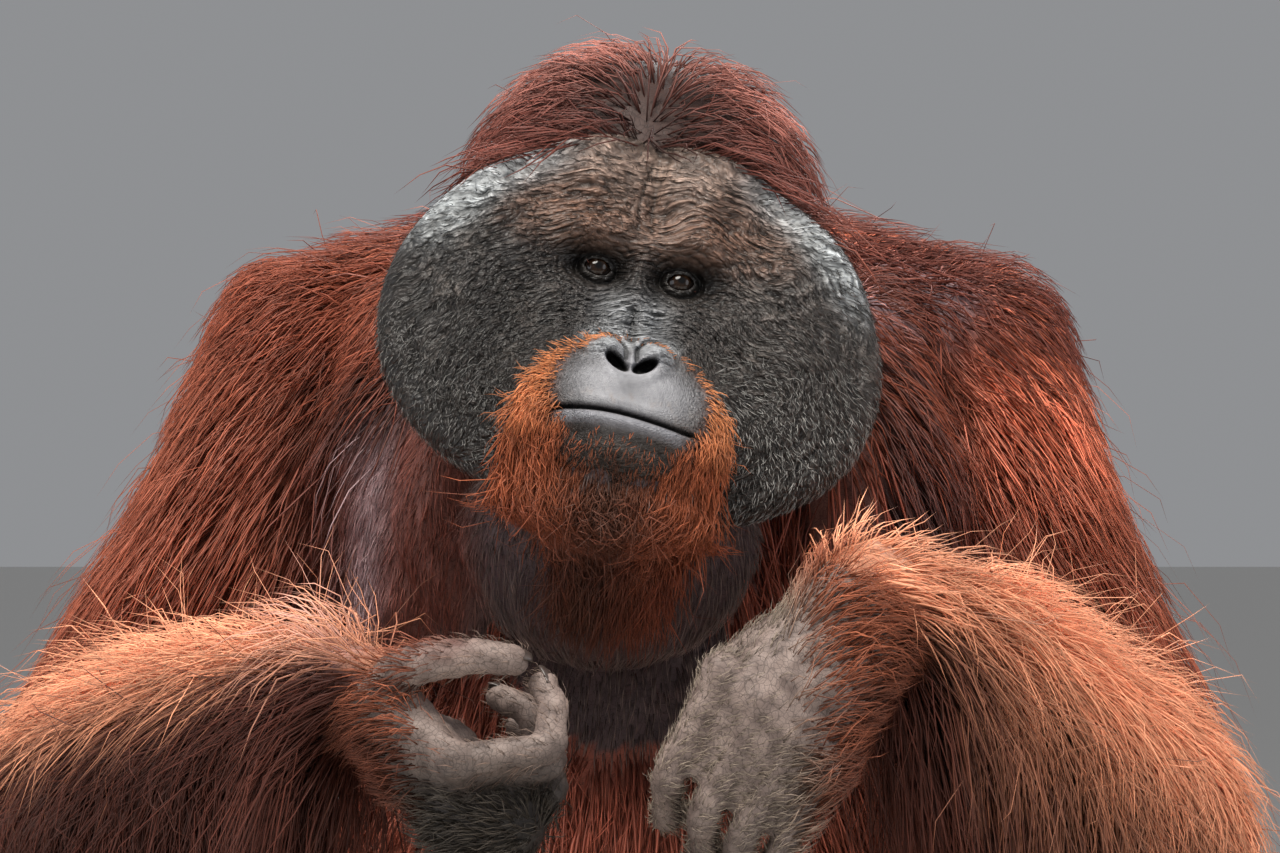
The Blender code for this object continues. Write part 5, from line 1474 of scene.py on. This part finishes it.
def body_hide(name, cell):
    """Bare skin of body, hands and feet: creased leather, dull. Cracks part pebbles of the given size in metres, and
    finer ones. The pebbles' places are bent by two noises, so that they run into wavy creases."""
    material, tree, shader = start_material(name)
    tint = add(tree, "ShaderNodeAttribute", {"attribute_name": "Tint"})
    place = add(tree, "ShaderNodeTexCoord").outputs["Object"]
    shade, bent, below, strength, depth = tint.outputs["Color"], place, {}, 0.32, 0.0009
    for scale, reach in ((26.0, 0.030), (130.0, 0.0022)):
        warp = add(tree, "ShaderNodeTexNoise", {"Scale": scale, "Detail": 2.0}, {"Vector": place})
        sway = add(tree, "ShaderNodeVectorMath", {"operation": "SCALE", "Scale": reach}, {0: warp.outputs["Color"]})
        bent = add(tree, "ShaderNodeVectorMath", {"operation": "ADD"}, {0: bent, 1: sway.outputs[0]}).outputs[0]
    for scale, weight in ((1 / cell, 0.8), (2.9 / cell, 0.45)):
        cells = add(tree, "ShaderNodeTexVoronoi", {"feature": "DISTANCE_TO_EDGE", "Scale": scale}, {"Vector": bent})
        edge = add(tree, "ShaderNodeMapRange", {"From Max": 0.075}, {"Value": cells.outputs["Distance"]}).outputs[0]
        crack = {"Strength": strength * weight, "Distance": depth}
        below = {"Normal": add(tree, "ShaderNodeBump", crack, {"Height": edge, **below}).outputs[0]}
        # Painted shade in the cracks, and a slight painted highlight on the pebbles between them
        light = {"To Min": 1 - 0.55 * weight, "To Max": 1.16}
        dark = add(tree, "ShaderNodeMapRange", light, {"Value": edge}).outputs[0]
        shade = add(tree, "ShaderNodeVectorMath", {"operation": "SCALE"}, {0: shade, "Scale": dark}).outputs[0]
    # Pores of about 1 mm, coarser than real ones so that they show
    grain = {"Scale": 900.0, "Detail": 4.0, "Roughness": 0.7}
    pores = add(tree, "ShaderNodeTexNoise", grain, {"Vector": place}).outputs["Fac"]
    dents = {"Strength": strength * 0.5, "Distance": depth * 0.5}
    normal = add(tree, "ShaderNodeBump", dents, {"Height": pores, **below})
    gloss = add(tree, "ShaderNodeMapRange", {"To Min": 0.46, "To Max": 0.70}, {"Value": pores})
    link_shader(tree, shader, shade, gloss.outputs[0], normal.outputs[0])
    set_shader(shader, ior=1.42)
    return material


def hair_keratin(name, roughness):
    """Hair: translucent keratin, seen as a soft gloss along each strand."""
    material, tree, shader = start_material(name)
    tint = add(tree, "ShaderNodeAttribute", {"attribute_name": "Tint"})
    tree.links.new(tint.outputs["Color"], shader.inputs["Base Color"])
    set_shader(shader, ior=1.55, roughness=roughness, specular=0.35)
    return material


def wet_eye():
    """The cornea over a dark eye: wet, so that it mirrors the lights as small sharp spots."""
    material, tree, shader = start_material("wet_cornea")
    tint = add(tree, "ShaderNodeAttribute", {"attribute_name": "Tint"})
    tree.links.new(tint.outputs["Color"], shader.inputs["Base Color"])
    set_shader(shader, ior=1.376, roughness=0.07, coat=0.25, coat_rough=0.03)
    return material


def nail_horn():
    """Nail: dark horn with a low polish, mottled and a little uneven every 4 mm or so."""
    material, tree, shader = start_material("dark_nail_horn")
    place = add(tree, "ShaderNodeTexCoord").outputs["Object"]
    noise = add(tree, "ShaderNodeTexNoise", {"Scale": 260.0, "Detail": 3.0}, {"Vector": place})
    ramp = add(tree, "ShaderNodeMix", {"data_type": "RGBA"}, {"Factor": noise.outputs["Fac"]})
    ramp.inputs["A"].default_value = (*linear("#2A2321"), 1)
    ramp.inputs["B"].default_value = (*linear("#5B4E48"), 1)
    lift = add(tree, "ShaderNodeBump", {"Strength": 0.3, "Distance": 0.0006}, {"Height": noise.outputs["Fac"]})
    tree.links.new(ramp.outputs[2], shader.inputs["Base Color"])
    tree.links.new(lift.outputs[0], shader.inputs["Normal"])
    set_shader(shader, ior=1.54, roughness=0.34)
    return material


def studio_floor():
    """Matt painted floor, pale and even."""
    material, _, shader = start_material("pale_matt_floor")
    shader.inputs["Base Color"].default_value = (*linear("#D9D7D3"), 1)
    set_shader(shader, roughness=0.85)
    return material


# Settings that a user may change


class HeadSettings(bpy.types.PropertyGroup):
    cap: IntProperty(
        name="Cap hairs", description="Hairs on the crown and sides of the head", default=11000, min=500, max=12400
    )
    beard: IntProperty(
        name="Beard hairs", description="Hairs of muzzle and beard", default=11000, min=500, max=12400
    )
    bristles: IntProperty(
        name="Bristles", description="Short pale bristles of the face", default=7600, min=0, max=12400
    )
    beard_length: FloatProperty(
        name="Beard length", description="Longest hairs of the beard", default=0.052, unit="LENGTH"
    )


class CoatSettings(bpy.types.PropertyGroup):
    upper: IntProperty(
        name="Upper arm hairs", description="Hairs of each upper arm", default=8700, min=500, max=12400
    )
    fore: IntProperty(
        name="Forearm hairs", description="Hairs of each forearm", default=9900, min=500, max=12400
    )
    back: IntProperty(
        name="Back hairs", description="Hairs of the back and flanks", default=8800, min=500, max=12400
    )
    length: FloatProperty(
        name="Coat length", description="Length of the hair on the arms", default=0.105, unit="LENGTH"
    )
    width: FloatProperty(name="Hair width", description="Width of each tuft", default=0.0012, unit="LENGTH")


class StageSettings(bpy.types.PropertyGroup):
    key: FloatProperty(
        name="Key light", description="Power of the large light over the camera", default=120.0, unit="POWER"
    )
    fill: FloatProperty(name="Fill light", description="Power of the side lights", default=16.0, unit="POWER")
    sky: FloatProperty(name="Sky", description="Strength of the even light from all round", default=0.34)
    lens: FloatProperty(name="Lens", description="Focal length of the camera", default=213.0, unit="CAMERA")


FLESH = ["throat_pouch", "neck", "chest", "belly"] + [
    part + "_" + TAG[side]
    for side in SIDES
    for part in (
        "upper_arm", "forearm", "thigh", "shank", "hand", "thumb", "index", "middle", "ring", "little",
        "foot", "toe_1", "toe_2", "toe_3", "toe_4", "toe_5",
    )
]


class BuildSkin(bpy.types.Operator):
    """The skin of body, hands and feet"""

    bl_idname = "orangutan.skin"
    bl_label = "Skin"

    def execute(self, context):
        dress(skin_piece(), body_hide("creased_body_hide", 0.0042), FLESH)
        return {"FINISHED"}


class BuildFace(bpy.types.Operator):
    """The face with its pads, and the lids"""

    bl_idname = "orangutan.face"
    bl_label = "Face"

    def execute(self, context):
        hide = face_hide()
        dress(face_piece(), hide, ["head", "cheek_pad_right", "cheek_pad_left"])
        for side in SIDES:
            dress(lids_piece(side), hide)
        return {"FINISHED"}


class BuildEyes(bpy.types.Operator):
    """Both eyeballs"""

    bl_idname = "orangutan.eyes"
    bl_label = "Eyes"

    def execute(self, context):
        wet = wet_eye()
        for side in SIDES:
            dress(eyeball_piece(side), wet, ["eye_" + TAG[side]])
        return {"FINISHED"}


class BuildEars(bpy.types.Operator):
    """Both ears"""

    bl_idname = "orangutan.ears"
    bl_label = "Ears"

    def execute(self, context):
        hide = body_hide("soft_ear_skin", 0.0030)
        for side in SIDES:
            dress(ear_piece(side), hide, ["ear_" + TAG[side]])
        return {"FINISHED"}


class BuildNails(bpy.types.Operator):
    """Nails of fingers and toes"""

    bl_idname = "orangutan.nails"
    bl_label = "Nails"

    def execute(self, context):
        dress(nails_piece(), nail_horn())
        return {"FINISHED"}


def hide_target():
    """The skin and the face together, for hairs that lie over both."""
    parts = [bpy.data.objects["skin"].data, bpy.data.objects["face"].data]
    return new_object("hide", *join([(vertices_of(m), [triangles_of(m)]) for m in parts]))


class GrowBodyCoat(bpy.types.Operator):
    """The coat of arms, trunk, legs, hands and feet"""

    bl_idname = "orangutan.body_coat"
    bl_label = "Body coat"

    def execute(self, context):
        settings = context.scene.orangutan_coat
        keratin = hair_keratin("rust_red_hair", 0.52)
        skin = bpy.data.objects["skin"]
        target = hide_target()

        def front_thin(points, normals):
            return np.where(normals[:, 1] < -0.25, 0.35, 1.0) * (points[:, 2] > 0.02)

        def breast_only(points, normals):
            z = points[:, 2]
            return (normals[:, 1] < -0.2) * ease(0.28, 0.34, z) * ease(0.60, 0.54, z)

        def above(height):
            return lambda points, normals: points[:, 2] > height

        def arm_fit(coat, points, normals):
            """Short over the shoulder, longer towards the elbow, cropped round the bare patches."""
            down = ease(0.80, 0.50, points[:, 2])
            wear_and_painted_light = distance(points, [0.190, -0.005, 0.770])
            coat.length = settings.length * mix(0.50, 1.05, down) * mix(0.22, 1.0, ease(0.060, 0.125, wear_and_painted_light))
            coat.high = mix(0.022, 0.036, down)

        def forearm_fit(coat, points, normals):
            """Stands up along the top of the forearm and hangs from its underside."""
            top, under = ease(0.25, 0.85, normals[:, 2]), ease(-0.1, -0.7, normals[:, 2])
            wear_and_painted_light = distance(points, [0.150, -0.285, 0.565])
            coat.length = settings.length * (1 + 0.45 * under) * mix(0.35, 1.0, ease(0.020, 0.070, wear_and_painted_light))
            coat.high = 0.034 + 0.022 * top + 0.062 * under
            coat.hang = 0.10 + 1.10 * under

        def flank_fit(coat, points, normals):
            """Fuller on the flanks below the ribs, so that the coat closes the space beside the arms."""
            side = ease(0.10, 0.15, np.abs(points[:, 0])) * ease(0.50, 0.42, points[:, 2])
            wear_and_painted_light = distance(points, [0.185, -0.010, 0.760])
            coat.length = 0.125 * mix(0.25, 1.0, ease(0.075, 0.150, wear_and_painted_light))
            coat.high = 0.028 + 0.030 * side

        def hand_fit(coat, points, normals):
            """Long from the wrist, short over the knuckles of the left hand and over the right fist."""
            right, back = points[:, 0] < 0, ease(0.075, 0.115, points[:, 0])
            coat.length = np.where(right, 0.028, mix(0.013, 0.046, back))
            coat.high = np.where(right, 0.018, mix(0.005, 0.018, back))
            coat.width = np.where(right, 0.0009, mix(0.0006, 0.0009, back))

        def hand_hair(points, normals):
            x, _, z = points.T
            left = mix(0.75, 1.0, ease(0.072, 0.105, x)) * (z > 0.30)
            low = 0.8 * ease(0.425, 0.400, z) * (z > 0.3)
            return np.where(x > 0, left, np.maximum(ease(-0.132, -0.150, x), low))

        plans = []
        for side in SIDES:
            tag = TAG[side]
            upper = Coat(width=settings.width, rise=0.45, hang=0.20, curl=0.34, fit=arm_fit)
            fore = Coat(
                width=settings.width, rise=0.80, curl=0.65, stray=0.07, low=0.006, clump=0.012, pull=0.42,
                root=0.84, tip=1.3, fit=forearm_fit,
            )
            leg = Coat(width=0.0017, length=0.075, high=0.022, rise=0.35, spans=2)
            hand = Coat(rise=0.6, curl=0.8, clump=0.008, low=0.001, spans=2, fit=hand_fit)
            on_upper, on_fore = weight_of("upper_" + tag, "girdle_" + tag), weight_of("fore_" + tag)
            on_leg = weight_of("thigh_" + tag, "shank_" + tag, also=above(0.012))
            on_hand = weight_of("hand_" + tag, also=hand_hair)
            plans += [
                ("upper_arm_coat_" + tag, settings.upper, on_upper, upper, "arm_coat"),
                ("forearm_coat_" + tag, settings.fore, on_fore, fore, "arm_coat"),
                ("leg_coat_" + tag, LEG_HAIRS, on_leg, leg, "leg_coat"),
                ("hand_coat_" + tag, HAND_HAIRS[side], on_hand, hand, "hand_skin"),
            ]
        trunk = Coat(width=0.0019, length=0.125, rise=0.35, fit=flank_fit)
        short = Coat(width=0.0006, length=0.014, high=0.006, low=0.0008, rise=0.4, clump=0.005, pull=0.3, spans=2)
        chest = Coat(width=0.0011, length=0.050, high=0.016, low=0.002, rise=0.5, curl=0.6, clump=0.009, spans=2)
        fold = Coat(width=0.0008, length=0.021, high=0.005, low=0.0008, rise=0.25, curl=0.5, clump=0.007, spans=2)
        throat = Coat(width=0.0008, length=0.022, high=0.007, low=0.001, rise=0.35, clump=0.008, hang=0.3, spans=2)
        on_ends = weight_of("hand_right", "hand_left", "foot_right", "foot_left", also=above(0.02))
        plans += [
            ("trunk_coat", settings.back, weight_of("trunk", "neck", also=front_thin), trunk, "trunk_coat"),
            ("short_hair", SHORT_HAIRS, on_ends, short, "hand_skin"),
            ("chest_coat", CHEST_HAIRS, weight_of("trunk", also=breast_only), chest, "trunk_coat"),
            ("neck_coat", NECK_HAIRS, lambda points, normals: neck_fold(points), fold, "trunk_coat"),
            ("throat_hair", THROAT_HAIRS, weight_of("throat", "jaw"), throat, "pouch_skin"),
        ]
        for seed, (name, count, weight, coat, slot) in enumerate(plans, BODY_SEED):
            dress(grow(name, skin, count, weight, coat, body_way, target, coat_colours, seed), keratin)
        discard(target)
        return {"FINISHED"}


class GrowHeadCoat(bpy.types.Operator):
    """The cap of the crown, the beard and the bristles of the face"""

    bl_idname = "orangutan.head_coat"
    bl_label = "Head coat"

    def execute(self, context):
        settings = context.scene.orangutan_head
        face, hide = bpy.data.objects["face"], hide_target()

        def cap_grows(points, normals):
            x, y, z = in_head(points).T
            over = ease(0.93, 0.97, np.hypot(x, z) / outline_radius(np.arctan2(z, x))) * ease(0.075, 0.100, z)
            return np.maximum(ease(0.006, 0.020, y), over * 1.5) * (z > -0.03)

        def cap_colours(points, normals):
            head = in_head(points)
            x, _, z = head.T
            tint = layered("#7C4338", [
                ("#A96C60", ease(0.135, 0.185, z)),
                ("#2A1A17", bell(distance(head, PARTING), 0.030) * 0.9),
                ("#9B5138", ease(0.070, 0.120, np.abs(x)) * ease(0.12, 0.04, z) * 0.8),
            ])
            return tint * (1 + 0.15 * waves(points, 0.05, 22, 2))[:, None]

        def beard_grows(points, normals):
            x, y, z = in_head(points).T
            stubble = 0.30 * np.exp(-((x / 0.042) ** 4) - ((z + 0.112) / 0.020) ** 4)
            return np.maximum(muzzle_hair(x, z), stubble) * (y < 0.012) * (normals[:, 1] < 0.75)

        def beard_way(points):
            x, _, z = in_head(points).T
            none = np.zeros(len(x))
            away = np.stack([x * 8, none, (z + 0.050) * 7 - 0.25], -1)
            down = np.stack([x * 4, none - 0.10, none - 1.0], -1)
            return unit(mix(unit(away), unit(down), ease(-0.030, -0.105, z)[:, None])) @ TURN.T

        def beard_colours(points, normals):
            x, _, z = in_head(points).T
            tint = layered("#B0613F", [
                ("#E2925F", ease(-0.100, -0.050, z)),
                ("#9A5038", ease(-0.110, -0.140, z)),
                ("#3B2A20", bell(x, 0.034) * ease(-0.085, -0.105, z) * 0.80),
            ])
            return tint * (1 + 0.16 * waves(points, 0.03, 23, 2))[:, None]

        def beard_fit(coat, points, normals):
            """Stubble on and beside the lips, longer outwards, and longest below the chin."""
            x, _, z = in_head(points).T
            low, bare = ease(-0.040, -0.130, z), bare_muzzle(x, z)
            edge = np.maximum(ease(0.95, 1.90, bare), ease(0.90, 1.25, bare) * ease(-0.092, -0.076, z))
            longest = settings.beard_length * (1 + 0.40 * ease(-0.135, -0.160, z))
            coat.length = longest * mix(0.24, 1.0, low) * mix(0.16, 1.0, edge)
            coat.high = mix(0.006, 0.024, low) * mix(0.25, 1.0, edge)
            coat.width = mix(0.0006, 0.0010, low * edge)

        def bristles_grow(points, normals):
            x, y, z = in_head(points).T
            pad = ease(0.045, 0.075, np.abs(x)) * (0.35 + 0.65 * ease(0.055, -0.050, z))
            pad = pad * mix(0.55, 1.0, ease(-0.05, 0.05, x))
            return np.maximum(pad, 0.10 * ease(0.04, 0.07, z)) * (1 - muzzle_hair(x, z)) * (y < 0.02)

        def bristle_way(points):
            """Round the muzzle, and a little outwards."""
            x, _, z = in_head(points).T
            none, up = np.zeros(len(x)), z + 0.058
            round_muzzle = unit(np.stack([np.sign(x) * up, none, -np.abs(x)], -1))
            return (round_muzzle + 0.35 * unit(np.stack([x, none, up], -1))) @ TURN.T

        def bristle_colours(points, normals):
            x, _, z = in_head(points).T
            pale = ease(0.055, -0.050, z) * mix(0.55, 1.0, ease(-0.05, 0.08, x))
            return blend("#2E2926", "#A5A39F", pale * (0.5 + 0.5 * np.sign(waves(points * 40, 0.02, 24, 1))))

        cap = Coat(
            length=0.058, spread=0.35, width=0.0013, rise=0.60, low=0.005, high=0.026, hang=0.16, curl=0.60,
            clump=0.013, pull=0.6, stray=0.03,
        )
        beard = Coat(
            spread=0.40, rise=0.80, low=0.0015, hang=0.08, curl=0.75, clump=0.011, pull=0.5, stray=0.06, root=0.6,
            fit=beard_fit,
        )
        fine = Coat(
            length=0.0095, spread=0.5, width=0.00055, rise=0.35, low=0.0008, high=0.0030, hang=0.0, curl=0.8,
            clump=0.004, pull=0.1, stray=0.05, root=0.7, tip=1.1, spans=2,
        )
        cap_hair, beard_hair = hair_keratin("maroon_cap_hair", 0.56), hair_keratin("rust_beard_hair", 0.52)
        bristle = hair_keratin("silver_bristle", 0.30)
        plans = [
            ("cap_hair", hide, settings.cap, cap_grows, cap, crown_way, cap_colours, cap_hair),
            ("beard_hair", hide, settings.beard, beard_grows, beard, beard_way, beard_colours, beard_hair),
            ("face_bristles", face, settings.bristles, bristles_grow, fine, bristle_way, bristle_colours, bristle),
        ]
        for seed, (name, on, count, weight, coat, way, colours, keratin) in enumerate(plans, HEAD_SEED):
            dress(grow(name, on, count, weight, coat, way, on, colours, seed), keratin)
        discard(hide)
        return {"FINISHED"}


def area_light(name, place, aim, size, power, colour):
    """A round lamp of the given diameter in metres and power in watts, turned to its aim."""
    light = bpy.data.lights.new(name, "AREA")
    light.shape, light.size, light.energy, light.color = "DISK", size, power, linear(colour)
    obj = bpy.data.objects.new(name, light)
    obj.location = place
    obj.rotation_euler = (Vector(aim) - Vector(place)).to_track_quat("-Z", "Y").to_euler()
    bpy.context.scene.collection.objects.link(obj)


class BuildStage(bpy.types.Operator):
    """Floor, lights and camera"""

    bl_idname = "orangutan.stage"
    bl_label = "Stage"

    def execute(self, context):
        settings = context.scene.orangutan_stage
        corners = FLOOR_EDGE * np.array([(-1, -1, 0), (1, -1, 0), (1, 1, 0), (-1, 1, 0)])
        floor = new_object("floor", corners - PLACE - [0, 0, 0.0005], [np.array([[0, 1, 2, 3]])])
        floor.data.materials.append(studio_floor())
        aim = PLACE + [0, -0.1, 0.6]
        for name, place, size, power, colour in (
            ("key", (-0.5, -1.5, 3.1), 1.8, settings.key, "#FFFAF2"),
            ("fill_left", (2.6, -1.6, 1.5), 2.0, settings.fill, "#F2F6FF"),
            ("fill_right", (-2.8, -1.0, 1.2), 2.0, settings.fill, "#F2F6FF"),
            ("rim", (0.6, 2.4, 2.6), 1.8, settings.key * RIM_SHARE, "#FFFFFF"),
        ):
            area_light(name, PLACE + place, aim, size, power, colour)
        world = bpy.data.worlds.new("studio")
        world.use_nodes = True
        sky = world.node_tree.nodes["Background"]
        sky.inputs["Color"].default_value = (*linear("#E8EAEE"), 1)
        sky.inputs["Strength"].default_value = settings.sky
        context.scene.world = world
        camera = bpy.data.cameras.new("camera")
        camera.lens, camera.sensor_width = settings.lens, CAMERA_SENSOR
        camera.clip_end = 100.0
        obj = bpy.data.objects.new("camera", camera)
        obj.location = PLACE + CAMERA_PLACE
        obj.rotation_euler = (math.pi / 2, 0, 0)
        context.scene.collection.objects.link(obj)
        context.scene.camera = obj
        context.scene.view_settings.view_transform = "Standard"
        return {"FINISHED"}


class OrangutanPanel(bpy.types.Panel):
    """Lists what builds the orangutan"""

    bl_idname = "VIEW3D_PT_orangutan"
    bl_label = "Orangutan"
    bl_space_type = "VIEW_3D"
    bl_region_type = "UI"
    bl_category = "Orangutan"

    def draw(self, context):
        for step in STEPS:
            self.layout.operator(step.bl_idname)
        for group in (context.scene.orangutan_head, context.scene.orangutan_coat, context.scene.orangutan_stage):
            for name in group.__annotations__:
                self.layout.prop(group, name)


STEPS = (BuildSkin, BuildFace, BuildEyes, BuildEars, BuildNails, GrowBodyCoat, GrowHeadCoat, BuildStage)
CLASSES = (HeadSettings, CoatSettings, StageSettings, *STEPS, OrangutanPanel)


def register():
    for made in CLASSES:
        bpy.utils.register_class(made)
    bpy.types.Scene.orangutan_head = PointerProperty(type=HeadSettings)
    bpy.types.Scene.orangutan_coat = PointerProperty(type=CoatSettings)
    bpy.types.Scene.orangutan_stage = PointerProperty(type=StageSettings)


def unregister():
    del bpy.types.Scene.orangutan_stage, bpy.types.Scene.orangutan_coat, bpy.types.Scene.orangutan_head
    for made in reversed(CLASSES):
        bpy.utils.unregister_class(made)


def main():
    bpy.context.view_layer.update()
    register()
    bpy.ops.orangutan.skin()
    bpy.ops.orangutan.face()
    bpy.ops.orangutan.eyes()
    bpy.ops.orangutan.ears()
    bpy.ops.orangutan.nails()
    bpy.ops.orangutan.body_coat()
    bpy.ops.orangutan.head_coat()
    bpy.ops.orangutan.stage()


if __name__ == "__main__":
    main()
